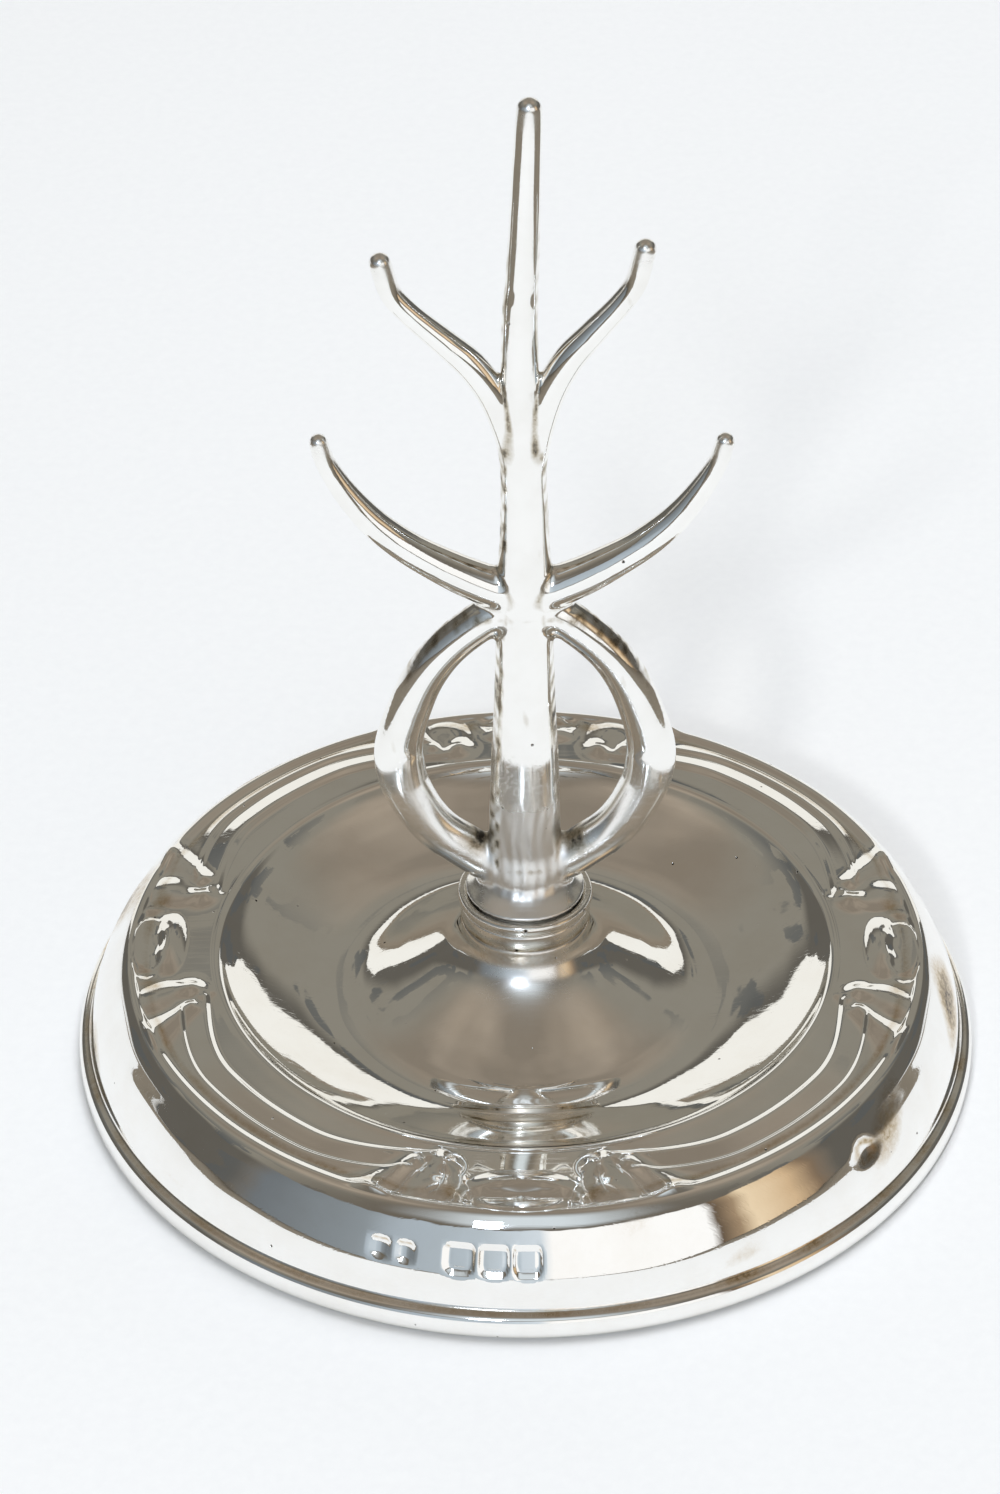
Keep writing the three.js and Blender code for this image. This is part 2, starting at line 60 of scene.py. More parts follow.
# lip, smooth border, two reeds that rise fast and fall gently outwards, and the rim
BORDER_ROWS = [
    (25.54, 9.42), (25.7, 9.56), (25.88, 9.65), (26.1, 9.7), (26.3, 9.7), (26.6, 9.67), (27.0, 9.64), (27.6, 9.61),
    (28.2, 9.58), (28.55, 9.57), (28.72, 9.58), (28.88, 9.62), (29.02, 9.69), (29.17, 9.78), (29.3, 9.84),
    (29.43, 9.86), (29.6, 9.84), (29.9, 9.78), (30.3, 9.69), (30.7, 9.6), (30.95, 9.54), (31.06, 9.53),
    (31.17, 9.56), (31.3, 9.64), (31.42, 9.71), (31.55, 9.73), (31.72, 9.71), (31.98, 9.63), (32.22, 9.54),
    (32.36, 9.51), (32.5, 9.52), (32.66, 9.56), (32.85, 9.63), (33.02, 9.69), (33.18, 9.72), (33.35, 9.7),
    (33.52, 9.64),
]
# radius and height down the skirt from the rim to the foot
SKIRT_ROWS = [
    (33.72, 9.51), (33.94, 9.31), (34.2, 9.02), (34.5, 8.64), (34.82, 8.12), (35.21, 7.5), (35.52, 7.0), (35.77, 6.5),
    (36.01, 6.0), (36.23, 5.5), (36.43, 5.0), (36.59, 4.5), (36.71, 4.0), (36.81, 3.5), (36.9, 3.0), (36.95, 2.7),
    (37.02, 2.5), (37.16, 2.38), (37.36, 2.33), (37.56, 2.27), (37.75, 2.12), (37.88, 1.92), (37.96, 1.65),
    (37.985, 1.3), (37.985, 0.8), (37.97, 0.5), (37.92, 0.36), (37.8, 0.3),
]
SHELL_COLUMNS = 600
COLUMN_CROWDING = 0.6  # columns stand closer together at the ornaments, by this share

# One ornament: how far its forms reach across from its middle and out from the axis, and their heights
MIDDLE_CUSHION = (0.0, 30.2, 4.9, 2.1, 0.85)  # across, out, half width, half length, height
SIDE_CUSHION = (7.1, 30.8, 2.7, 3.0, 0.62)
BOSS = (0.0, 32.0, 3.7, 1.1, 0.62)
KNOT = (6.3, 28.4, 1.1, 0.58)  # across, out, size and height of the knot where the reeds end
HORN_START, HORN_END, HORN_HEIGHT, HORN_WIDTH = (8.6, 29.0), (12.6, 33.2), 0.5, 0.85
MIDDLE_GROUND, SIDE_GROUND, BOSS_GROUND = 9.3, 9.27, 9.15  # heights that the cushions and the boss stand on
# radius against how far the ornament reaches across, and against the height of the smooth ground in it
REACH_RADII, REACHES = [26.3, 28.2, 29.2, 31.0, 33.2], [6.9, 7.5, 8.8, 10.5, 12.7]
GROUND_RADII, GROUND_HEIGHTS = [26.3, 28.8, 33], [9.7, 9.57, 9.42]

# bare punch marks on the front of the skirt: place across, half width, half height and corner of each
PUNCHES = [
    (-12.0, 0.65, 0.7, 0.3), (-9.9, 0.65, 0.7, 0.3), (-5.5, 1.15, 1.05, 0.4), (-2.75, 1.15, 1.05, 0.4),
    (-0.05, 1.1, 1.05, 0.4),
]
PUNCH_RADIUS, PUNCH_HEIGHT, PUNCH_DEPTH, PUNCH_SWELL = 36, 6.35, 0.3, 0.14
# the dent in the skirt: where its middle is, and its half width, half height and depth
DENT_TURN, DENT_RADIUS, DENT_HEIGHT = math.radians(-40), 35.5, 6.5
DENT_HALF_WIDTH, DENT_HALF_HEIGHT, DENT_DEPTH = 1.15, 0.85, 0.35

# ---------------------------------------------------------------- sizes of the tree, in millimetres
# stem: height, width and sideways place of the middle
STEM_ROWS = [
    (16.3, 6.15, 0), (20.5, 5.95, 0), (25, 5.77, 0), (30.1, 5.48, 0), (35.1, 4.99, 0), (40.1, 4.71, 0),
    (45, 4.42, 0), (48.8, 4.2, 0), (50.75, 3.95, 0), (54.5, 3.73, -0.02), (57.4, 3.56, -0.1),
    (60, 3.36, -0.2), (64, 3.1, -0.3), (69.2, 2.84, -0.36), (72.8, 2.71, -0.28), (73.9, 2.54, -0.2),
    (77.2, 2.46, -0.05), (81.5, 2.29, 0.1), (85.8, 2.13, 0.26), (88.2, 2.02, 0.35), (89.2, 1.9, 0.4),
]
STEM_DEPTH = 0.88
HOOP_DEPTH = 0.9
ARM_DEPTH = 0.95
# half hoop: sideways, height, thickness, from the top round to the bottom
HOOP_ROWS = [
    (0.6, 44.6, 3.4), (2.4, 43.7, 3.35), (3.6, 42.9, 3.3), (5.6, 41.1, 3.3), (7.1, 39.3, 3.35),
    (8.4, 37.0, 3.45), (9.45, 34.2, 3.6), (10.15, 31.6, 3.85), (10.3, 29.8, 4.1), (10.12, 27.9, 4.08),
    (9.75, 26.5, 4.0), (8.5, 23.9, 3.85), (7.0, 21.9, 3.75), (5.3, 20.5, 3.8), (3.3, 19.1, 3.9), (0.6, 18.3, 4.0),
]
# arms: share of the reach, share of the rise, and thickness, from the stem to the tip
LOWER_ARM_ROWS = [
    (0.02, 0.0, 3.6), (0.12, 0.035, 3.5), (0.24, 0.09, 3.36), (0.375, 0.17, 3.12), (0.57, 0.308, 2.72),
    (0.715, 0.445, 2.45), (0.807, 0.565, 2.2), (0.896, 0.715, 1.92), (0.973, 0.885, 1.62), (1.0, 1.0, 1.45),
]
UPPER_ARM_ROWS = [
    (0.0, -0.34, 1.3), (0.03, -0.15, 2.0), (0.065, 0.0, 2.4), (0.12, 0.155, 2.5), (0.225, 0.335, 2.5),
    (0.376, 0.483, 2.42), (0.575, 0.607, 2.1), (0.795, 0.74, 1.82), (0.93, 0.85, 1.74), (1.0, 1.0, 1.7),
]
LOWER_ARMS = [(-16.05, 45.6, 14.4), (15.65, 45.6, 14.3)]  # reach, root height and rise of each arm
UPPER_ARMS = [(-10.95, 58.5, 17.6), (9.2, 58.5, 18.7)]
# foot of the tree inside the collar: height, width and sideways place of the middle
TREE_FOOT_ROWS = [
    (13.0, 9.4, 0), (15.1, 9.4, 0), (15.9, 9.45, 0), (16.12, 10.0, 0), (16.3, 9.8, 0), (16.6, 8.7, 0), (17.1, 7.3, 0),
    (17.9, 6.2, 0),
]
CAST_VOXEL = 0.2  # size of the cells that the casting's skin is found in
CAST_LOW, CAST_HIGH = (-18.4, -5.2, 12.9), (18.0, 5.2, 91.0)
CAST_BOTTOM = 13.24

# ---------------------------------------------------------------- sizes of the setting, in millimetres
# pale floor, how far it shows white in the silver to each side, and how far back it widens
FLOOR_RADIUS = 2500.0
PAPER_SIDE, PAPER_WIDENS = 118.0, 70.0
# the window before the object: turn from the front in degrees, colour and strength from left to right
WINDOW_ROWS = [
    (-75, "#7c756b", 0), (-68, "#6e7479", 1), (-40, "#8a9298", 1), (-30, "#a8b3bd", 1), (-10, "#b7c3cd", 1),
    (3, "#d3dde6", 1), (5, "#ffffff", 1), (44, "#ffffff", 1), (46, "#625446", 1), (52, "#a38d73", 1),
    (56, "#ecd7b7", 1), (66, "#d3b793", 1), (74, "#816e5a", 1), (82, "#8d8274", 0),
]
# soft boxes: name, place, target, size, watts, colour, and whether the silver mirrors it
LAMPS = [
    ("overhead_softbox", (90, 220, 820), (0, 30, 0), (520, 520), 4.95, "#f7faff", False),
    ("key_from_the_left", (-190, -660, 480), (0, 0, 20), (60, 60), 1.5, "#fffefb", False),
    ("flash_by_the_camera", (-80, -470, 330), (0, 0, 20), (60, 110), 0.4, "#e2edff", True),
]
# camera: what it looks at, how far off and how high in degrees it stands, and how it leans
CAMERA_TARGET, CAMERA_DISTANCE = (-2.034, 0, 30.412), 380.0
CAMERA_RISE, CAMERA_ROLL = math.radians(36.458), math.radians(-0.319)
FILM_LENGTH, FOCAL_PIXELS, PICTURE_PIXELS = 36, 4651.96, 1494  # long side of the film and of the picture


# ---------------------------------------------------------------- helpers
def linear(colour):
    """A linear RGBA value from an sRGB hex colour."""
    channels = [int(colour[i : i + 2], 16) / 255 for i in (1, 3, 5)]
    return tuple(c / 12.92 if c <= 0.04045 else ((c + 0.055) / 1.055) ** 2.4 for c in channels) + (1.0,)


def add(tree, kind, *values, at=None, out=0, **settings):
    """Adds a node with its settings, links or sets its inputs, and gives one of its outputs."""
    made = tree.nodes.new(kind)
    for key, value in settings.items():
        setattr(made, key, value)
    for key, value in [*enumerate(values), *(at or {}).items()]:
        if isinstance(value, bpy.types.NodeSocket):
            tree.links.new(value, made.inputs[key])
        elif value is not None:
            made.inputs[key].default_value = value
    return made.outputs[out] if len(made.outputs) else made


def calc(tree, operation, *values):
    """One sum with numbers or other nodes' values."""
    return add(tree, "ShaderNodeMath", *values, operation=operation)


def span(tree, value, low, high, first, last, soft=False):
    """Turns a value between low and high into one between first and last, evenly or with soft ends."""
    kind = "SMOOTHSTEP" if soft else "LINEAR"
    return add(tree, "ShaderNodeMapRange", value, low, high, first, last, interpolation_type=kind)


def mix(tree, share, one, other):
    """Blends two colours, each a hex colour or another node's."""
    one, other = (linear(c) if isinstance(c, str) else c for c in (one, other))
    return add(tree, "ShaderNodeMix", share, data_type="RGBA", at={6: one, 7: other}, out=2)


def noise(tree, place, scale, detail, roughness=0.5):
    """Cloudy noise. On an object, a scale of 1000 gives features of about a millimetre."""
    return add(tree, "ShaderNodeTexNoise", place, at={"Scale": scale, "Detail": detail, "Roughness": roughness})


def relief(tree, height, strength, depth, under=None, sunk=False):
    """Raised or sunk relief of a depth in millimetres, on top of the relief under it."""
    at = {"Strength": strength, "Distance": depth * MM, "Height": height, "Normal": under}
    return add(tree, "ShaderNodeBump", invert=sunk, at=at)


def smooth(value):
    """A soft step from 0 to 1."""
    share = np.clip(value, 0, 1)
    return share * share * (3 - 2 * share)


def ripple(points, length, seed):
    """Gentle waves of about that length through a cloud of points, from -1 to 1, the same each run."""
    turn = np.random.default_rng(seed)
    total = np.zeros(len(points))
    for _ in range(5):
        way = turn.normal(size=3)
        way *= 2 * math.pi / (length * turn.uniform(0.75, 1.4) * np.linalg.norm(way))
        total += np.sin(points @ way + turn.uniform(0, 2 * math.pi))
    return total / 5


def rounded_line(rows, step):
    """A smooth line through the rows of a table, with points about a step apart."""
    rows = np.array(rows, float)
    padded = np.vstack([2 * rows[0] - rows[1], rows, 2 * rows[-1] - rows[-2]])
    made = []
    for a, b, c, d in zip(padded, padded[1:], padded[2:], padded[3:]):
        count = max(1, round(np.linalg.norm((c - b)[:2]) / step))
        for t in np.arange(count) / count:
            made.append(
                b + 0.5 * t * ((c - a) + t * ((2 * a - 5 * b + 4 * c - d) + t * (3 * (b - c) + d - a)))
            )
    return np.array(made + [rows[-1]])


def write_attribute(mesh, name, values):
    """One number for each point, which a material or the nodes can read by its name."""
    layer = mesh.attributes.get(name) or mesh.attributes.new(name, "FLOAT", "POINT")
    layer.data.foreach_set("value", np.asarray(values, np.float32))


def mesh_points(mesh):
    """The points of a mesh as rows, in metres."""
    points = np.empty(len(mesh.vertices) * 3, np.float32)
    mesh.vertices.foreach_get("co", points)
    return points.reshape(-1, 3).astype(float)


def mesh_object(name, mesh):
    """A new object in the scene with that mesh."""
    made = bpy.data.objects.new(name, mesh)
    bpy.context.scene.collection.objects.link(made)
    return made


def settle(piece, material_slot, *nodes):
    """Smooth shading, the body it rides on and the solids that it stands for."""
    piece.data.polygons.foreach_set("use_smooth", np.ones(len(piece.data.polygons), bool))
    piece.data.update()
    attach(piece, "root")
    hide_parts(*nodes)


# ---------------------------------------------------------------- materials
def new_material(name):
    """An empty material, its tree, and the place on the object that its textures follow."""
    made = bpy.data.materials.new(name)
    made.use_nodes = True
    made.node_tree.nodes.clear()
    return made, made.node_tree, add(made.node_tree, "ShaderNodeTexCoord", out="Object")


def finish_material(tree, colour, roughness, normal, metallic, more=None):
    """The surface itself, from its colour, roughness and relief, with any more settings by name."""
    given = {"Base Color": colour, "Roughness": roughness, "Normal": normal, "Metallic": metallic, **(more or {})}
    add(tree, "ShaderNodeOutputMaterial", add(tree, "ShaderNodeBsdfPrincipled", at=given))


def silver(name, clean, warm, dark, gloss, scratch_gloss, ripple_height, pit_size, pit_share):
    """Polished silver with fine scratches, soft waves, pits, tarnish where a polishing cloth can't reach, and painted
    shade where the mark carries it.
    """
    made, tree, place = new_material(name)
    # the mark holds tarnish, and on the cast tree also painted shade along the stem's sides
    tarnish_and_edge_shade = add(tree, "ShaderNodeAttribute", out="Fac", attribute_name="tarnish_and_edge_shade")
    dull = add(tree, "ShaderNodeAttribute", out="Fac", attribute_name="dull")
    # cloudy film about 4 mm across, and a finer break-up of about half a millimetre
    cloud = noise(tree, place, 250, 4, 0.6)
    grit = noise(tree, place, 2100, 3, 0.7)
    # scratches of a cloth: noise stretched along three directions, lines about 0.2 mm apart
    lines = []
    for turn, size in ((0.5, 5200), (-0.9, 4100), (2.2, 6000)):
        along = add(
            tree, "ShaderNodeMapping", place, at={"Rotation": (0.4, turn / 2, turn), "Scale": (0.03, 1, 0.4)}
        )
        line = noise(tree, along, size, 1)
        lines.append(span(tree, line, 0.63, 0.72, 0, 1))
    scratch = calc(tree, "MAXIMUM", lines[0], lines[1])
    scratch = calc(tree, "MAXIMUM", scratch, lines[2])
    # pits of the casting or of wear
    cell = add(tree, "ShaderNodeTexVoronoi", place, at={"Scale": 1 / (pit_size * MM), "Randomness": 1})
    chance = add(tree, "ShaderNodeTexVoronoi", place, at={"Scale": 1 / (pit_size * MM)}, out="Color")
    chance = add(tree, "ShaderNodeSeparateColor", chance)
    chosen = calc(tree, "LESS_THAN", chance, pit_share)
    hole = span(tree, cell, 0.1, 0.24, 1, 0)
    pit = calc(tree, "MULTIPLY", hole, chosen)
    # tarnish grows from the marked recesses in an uneven edge; on the cast tree the same mark also holds painted
    # shade along the stem's sides
    edge = span(tree, cloud, 0.3, 0.7, -0.25, 0.25)
    edge = calc(tree, "MULTIPLY", edge, tarnish_and_edge_shade)
    grain = span(tree, grit, 0.3, 0.7, -0.3, 0.3)
    grain = calc(tree, "MULTIPLY", grain, tarnish_and_edge_shade)
    grown = calc(tree, "ADD", edge, grain)
    grown = calc(tree, "ADD", grown, tarnish_and_edge_shade)
    warm_share = span(tree, grown, 0.08, 0.6, 0, 1)
    dark_share = span(tree, grown, 0.5, 0.95, 0, 0.92)
    dark_share = calc(tree, "MAXIMUM", dark_share, pit)
    film = span(tree, cloud, 0.4, 0.8, 0, 0.12)
    warm_share = calc(tree, "MAXIMUM", warm_share, film)
    colour = mix(tree, warm_share, clean, warm)
    colour = mix(tree, dark_share, colour, dark)
    rough = span(tree, scratch, 0, 1, gloss, scratch_gloss)
    rough = calc(tree, "MULTIPLY_ADD", dull, 0.45, rough)
    haze = span(tree, grit, 0.35, 0.8, 0, 0.02)
    rough = calc(tree, "ADD", rough, haze)
    rough = calc(tree, "MULTIPLY_ADD", grown, 0.3, rough)
    rough = calc(tree, "MINIMUM", rough, 0.8)
    # the surface itself: waves about 2 mm long, then scratches and pits as fine grooves
    wave = noise(tree, place, 420, 2, 0.4)
    bump = relief(tree, wave, 0.6, ripple_height)
    bump = relief(tree, scratch, 0.3, 0.0015, bump, sunk=True)
    bump = relief(tree, pit, 1.0, 0.06, bump, sunk=True)
    bump = relief(tree, grain, 0.5, 0.01, bump)
    finish_material(tree, colour, rough, bump, 1.0)
    return made


def stamped_sheet_silver():
    # Sterling sheet, stamped, spun and hand polished for a century: mirror bright, faintly wavy
    return silver("stamped_sheet_silver", "#fdfcf9", "#c9b492", "#3b322a", 0.012, 0.05, 0.004, 0.5, 0.006)


def cast_silver():
    # Sterling casting, filed and polished: bright with a soft skin, pits and black in the joints
    return silver("cast_silver", "#fefdfa", "#bfb5a2", "#3a3733", 0.03, 0.09, 0.008, 0.6, 0.012)


def rolled_wire_silver():
    # Soldered collar and rolled wire: bright edges over a dull soldered band
    return silver("soldered_collar_silver", "#f7f4ee", "#bfae8f", "#332b24", 0.09, 0.2, 0.02, 0.8, 0.06)


def pressed_baize():
    # Wool baize, pressed and glued under the foot: deep green, matt, with a short nap
    made, tree, place = new_material("pressed_wool_baize")
    nap = noise(tree, place, 3500, 4, 0.75)
    wear = noise(tree, place, 120, 3)
    colour = mix(tree, nap, "#17382a", "#2f6148")
    worn = span(tree, wear, 0.5, 0.7, 0, 0.35)
    colour = mix(tree, worn, colour, "#5c6d5c")
    bump = relief(tree, nap, 0.8, 0.08)
    rough = span(tree, nap, 0.2, 0.8, 0.85, 1)
    finish_material(tree, colour, rough, bump, 0.0, {"Sheen Weight": 0.5, "Sheen Roughness": 0.5})
    return made


def sawn_board():
    # Thin beech board, sawn: straight open grain under the base
    made, tree, place = new_material("sawn_beech_board")
    along = add(tree, "ShaderNodeMapping", place, at={"Scale": (1, 0.06, 1)})
    grain = noise(tree, along, 900, 5, 0.6)
    colour = mix(tree, grain, "#8f6a3f", "#c79d68")
    bump = relief(tree, grain, 0.5, 0.05)
    rough = span(tree, grain, 0.2, 0.8, 0.6, 0.8)
    finish_material(tree, colour, rough, bump, 0.0)
    return made


def poured_pitch():
    # Pitch and plaster loading, poured hot: brown-black with a dull skin and small bubbles
    made, tree, place = new_material("poured_pitch_loading")
    skin = noise(tree, place, 400, 4)
    bubble = add(tree, "ShaderNodeTexVoronoi", place, at={"Scale": 700})
    colour = mix(tree, skin, "#1d1611", "#3a2d22")
    bump = relief(tree, bubble, 0.4, 0.1)
    rough = span(tree, skin, 0.3, 0.7, 0.45, 0.8)
    finish_material(tree, colour, rough, bump, 0.0)
    return made


# ---------------------------------------------------------------- turned pieces, by geometry nodes
def turned_tree():
    """A profile of radius and height turned round the Z axis, with its reeds drawn in at each ornament."""
    tree = bpy.data.node_groups.new("turned_piece", "GeometryNodeTree")
    sizes = [
        ("Profile", "NodeSocketGeometry"), ("Rows", "NodeSocketInt"), ("Columns", "NodeSocketInt"),
        ("Ornaments", "NodeSocketInt"), ("Ornament Turn", "NodeSocketFloat"), ("Crowding", "NodeSocketFloat"),
        ("Reed Sweep", "NodeSocketFloat"), ("Sweep Start", "NodeSocketFloat"), ("Sweep End", "NodeSocketFloat"),
        ("Merge", "NodeSocketFloat"), ("Metal", "NodeSocketMaterial"),
    ]
    for name, kind in sizes:
        tree.interface.new_socket(name=name, in_out="INPUT", socket_type=kind)
    tree.interface.new_socket(name="Piece", in_out="OUTPUT", socket_type="NodeSocketGeometry")
    given = {name: add(tree, "NodeGroupInput", out=name) for name, _ in sizes}
    # a sheet of columns by rows; a vertex's number gives the column and the row that it stands for
    seam = calc(tree, "ADD", given["Columns"], 1)
    sheet = add(tree, "GeometryNodeMeshGrid", at={"Vertices X": seam, "Vertices Y": given["Rows"]})
    number = add(tree, "GeometryNodeInputIndex")
    column = calc(tree, "DIVIDE", number, given["Rows"])
    column = calc(tree, "FLOOR", column)
    before = calc(tree, "MULTIPLY", column, given["Rows"])
    row = calc(tree, "SUBTRACT", number, before)
    spot = add(
        tree, "GeometryNodeSampleIndex", given["Profile"], data_type="FLOAT_VECTOR",
        at={"Value": add(tree, "GeometryNodeInputPosition"), "Index": row},
    )
    radius = add(tree, "ShaderNodeSeparateXYZ", spot, out="X")
    height = add(tree, "ShaderNodeSeparateXYZ", spot, out="Z")
    drawn = add(
        tree, "GeometryNodeSampleIndex", given["Profile"], data_type="FLOAT",
        at={"Value": add(tree, "GeometryNodeInputNamedAttribute", "sweep"), "Index": row},
    )
    # turn of the column, with the columns crowded towards the ornaments
    turns = calc(tree, "DIVIDE", column, given["Columns"])
    even = calc(tree, "MULTIPLY", turns, 2 * math.pi)
    phase = calc(tree, "MULTIPLY", even, given["Ornaments"])
    bunched = calc(tree, "SINE", phase)
    bunched = calc(tree, "MULTIPLY", bunched, given["Crowding"])
    bunched = calc(tree, "DIVIDE", bunched, given["Ornaments"])
    apart = calc(tree, "SUBTRACT", even, bunched)
    angle = calc(tree, "ADD", apart, given["Ornament Turn"])
    # angle away from the nearest ornament, and the share of the sweep that is left there
    spacing = calc(tree, "DIVIDE", 2 * math.pi, given["Ornaments"])
    half = calc(tree, "DIVIDE", spacing, 2)
    away = calc(tree, "ADD", apart, half)
    away = calc(tree, "FLOORED_MODULO", away, spacing)
    away = calc(tree, "SUBTRACT", away, half)
    away = calc(tree, "ABSOLUTE", away)
    sweep = span(tree, away, given["Sweep Start"], given["Sweep End"], 1, 0, soft=True)
    sweep = calc(tree, "MULTIPLY", sweep, drawn)
    sweep = calc(tree, "MULTIPLY", sweep, given["Reed Sweep"])
    radius = calc(tree, "SUBTRACT", radius, sweep)
    across = calc(tree, "COSINE", angle)
    across = calc(tree, "MULTIPLY", across, radius)
    deep = calc(tree, "SINE", angle)
    deep = calc(tree, "MULTIPLY", deep, radius)
    place = add(tree, "ShaderNodeCombineXYZ", across, deep, height)
    shaped = add(tree, "GeometryNodeSetPosition", sheet, at={"Position": place})
    marked = add(
        tree, "GeometryNodeStoreNamedAttribute", shaped, data_type="FLOAT", domain="POINT",
        at={"Name": "row", "Value": row},
    )
    closed = add(tree, "GeometryNodeMergeByDistance", marked, at={"Distance": given["Merge"]})
    whole = add(tree, "GeometryNodeRealizeInstances", closed)
    coated = add(tree, "GeometryNodeSetMaterial", whole, at={"Material": given["Metal"]})
    add(tree, "NodeGroupOutput", coated)
    return tree


def turned_mesh(tree, name, profile, sweep, columns, material, ornaments=1, crowding=0.0):
    """The plain mesh of a turned piece. The profile is in millimetres, and its end is joined to its start."""
    loop = np.vstack([profile, profile[:1]])
    bare = bpy.data.meshes.new(name + "_profile")
    bare.from_pydata([(r * MM, 0, z * MM) for r, z in loop], [(i, i + 1) for i in range(len(loop) - 1)], [])
    write_attribute(bare, "sweep", list(sweep) + [sweep[0]])
    piece = mesh_object(name, bare)
    turn = piece.modifiers.new("turn", "NODES")
    turn.node_group = tree
    values = {
        "Rows": len(loop), "Columns": columns, "Ornaments": ornaments, "Ornament Turn": ORNAMENT_TURN,
        "Crowding": crowding, "Reed Sweep": REED_SWEEP * MM, "Sweep Start": SWEEP_START,
        "Sweep End": SWEEP_END, "Merge": 0.002 * MM, "Metal": material,
    }
    for socket in tree.interface.items_tree:
        if socket.in_out == "INPUT" and socket.name in values:
            turn[socket.identifier] = values[socket.name]
    bpy.context.view_layer.update()
    ready = bpy.context.evaluated_depsgraph_get()
    made = bpy.data.meshes.new_from_object(piece.evaluated_get(ready), depsgraph=ready)
    piece.modifiers.clear()
    piece.data = made
    bpy.data.meshes.remove(bare)
    return face_outwards(piece)


def face_outwards(piece):
    """Turns the faces of a closed mesh outwards."""
    mesh = piece.data
    mesh.calc_loop_triangles()
    points = mesh_points(mesh)
    corners = np.empty(len(mesh.loop_triangles) * 3, np.int32)
    mesh.loop_triangles.foreach_get("vertices", corners)
    a, b, c = (points[corners.reshape(-1, 3)[:, i]] for i in range(3))
    if np.einsum("ij,ij->i", a, np.cross(b, c)).sum() < 0:
        mesh.flip_normals()
    return piece


# ---------------------------------------------------------------- the base
def shell_top():
    """The top surface from the neck out to the foot: radius, height and the share of the reeds' sweep."""
    rows = [(2.6, 13.2), (4.4, 13.2), (5.1, 13.18), (5.3, 13.1), (5.4, 12.9)]
    parts = [rows, rounded_line(CONE_ROWS, 0.35)[:-1]]
    parts += [rounded_line(part, step) for part, step in ((WALL_ROWS, 0.35), (BORDER_ROWS, 0.12), (SKIRT_ROWS, 0.34))]
    rows = np.vstack(parts)
    return rows, np.interp(rows[:, 0], SWEEP_RADII, SWEEP_SHARES)


def shell_underside():
    """The underside from the foot back to the neck, smooth under the stamped work."""
    rows = [
        (37.5, 0.3), (37.5, 1.6), (37.0, 1.95), (36.5, 2.4), (36.35, 3.0), (36.1, 4.0), (35.8, 5.0), (35.4, 6.0),
        (34.9, 7.0), (34.2, 7.9), (33.5, 8.4), (32.7, 8.48), (31.6, 8.45), (30.3, 8.5), (28.6, 8.7), (27.0, 8.95),
        (26.2, 9.1), (25.3, 8.7), (24.1, 7.95), (22.9, 7.2), (21.7, 6.6), (20.4, 6.0), (18.95, 5.5), (17.4, 5.12),
    ]
    line = rounded_line(CONE_ROWS, 0.8)[::-1]
    way = np.gradient(line, axis=0)
    out = np.stack([way[:, 1], -way[:, 0]], 1) / np.linalg.norm(way, axis=1)[:, None]
    rows += [tuple(row) for row in line - 0.4 * out]
    return np.array(rows + [(4.75, 12.5), (2.6, 12.7)])


def from_ornament(angle):
    """Angle from the middle of the nearest ornament, to either side."""
    spacing = 2 * math.pi / ORNAMENTS
    turns = (angle - ORNAMENT_TURN) / spacing
    return (turns - np.round(turns)) * spacing


def dome(along, radius, form):
    """Share of a cushion's height over a point: 1 in its middle, 0 at its edge, below zero outside."""
    across, out, half_width, half_length, _ = form
    lean = along - across - 0.35 * (radius - out) * (across > 0)
    return 1 - (lean / half_width) ** 2 - ((radius - out) / half_length) ** 2


def chase_ornaments(radius, angle, height):
    """Height of the stamped work over the swept reeds: three cushions, knots, horns and an oval boss."""
    along = np.abs(from_ornament(angle)) * radius
    edge = np.interp(radius, REACH_RADII, REACHES)
    inside = smooth((edge - along) / 0.5)
    middle = MIDDLE_GROUND + MIDDLE_CUSHION[4] * dome(along, radius, MIDDLE_CUSHION)
    side = SIDE_GROUND + SIDE_CUSHION[4] * dome(along, radius, SIDE_CUSHION)
    border = np.interp(radius, GROUND_RADII, GROUND_HEIGHTS)
    flat = np.maximum(border, np.maximum(middle, side))
    share = inside * smooth((radius - 26.3) / 0.3) * smooth((33.0 - radius) / 0.4)
    height = height + (flat - height) * share
    across, out, size, rise = KNOT
    height = height + rise * np.exp(-(((along - across) / size) ** 2) - ((radius - out) / size) ** 2)
    # horns run out from the knots to the rim
    reach = np.hypot(HORN_END[0] - HORN_START[0], HORN_END[1] - HORN_START[1])
    way = ((HORN_END[0] - HORN_START[0]) / reach, (HORN_END[1] - HORN_START[1]) / reach)
    run = (along - HORN_START[0]) * way[0] + (radius - HORN_START[1]) * way[1]
    beside = (along - HORN_START[0]) * way[1] - (radius - HORN_START[1]) * way[0]
    beyond = np.maximum(-run, 0) + np.maximum(run - reach, 0)
    width = HORN_WIDTH * (0.8 + 0.5 * np.clip(run / reach, 0, 1))
    height = height + HORN_HEIGHT * np.exp(-((np.hypot(beside, beyond) / width) ** 2))
    # the boss is an oval facet that rises toward the rim, in a sunk line with a fine ridge round it
    spread = np.sqrt(np.maximum(1 - dome(along, radius, BOSS), 0))
    boss = BOSS_GROUND + BOSS[4] * (0.5 + 0.5 * (radius - BOSS[1]) / BOSS[3]) + 0.12 * (1 - spread**2)
    height = height + (boss - height) * smooth((1.12 - spread) / 0.16)
    height = height - 0.16 * np.exp(-(((spread - 1.14) / 0.09) ** 2))
    return height + 0.1 * np.exp(-(((spread - 1.36) / 0.12) ** 2)) * smooth((33.0 - radius) / 0.4)


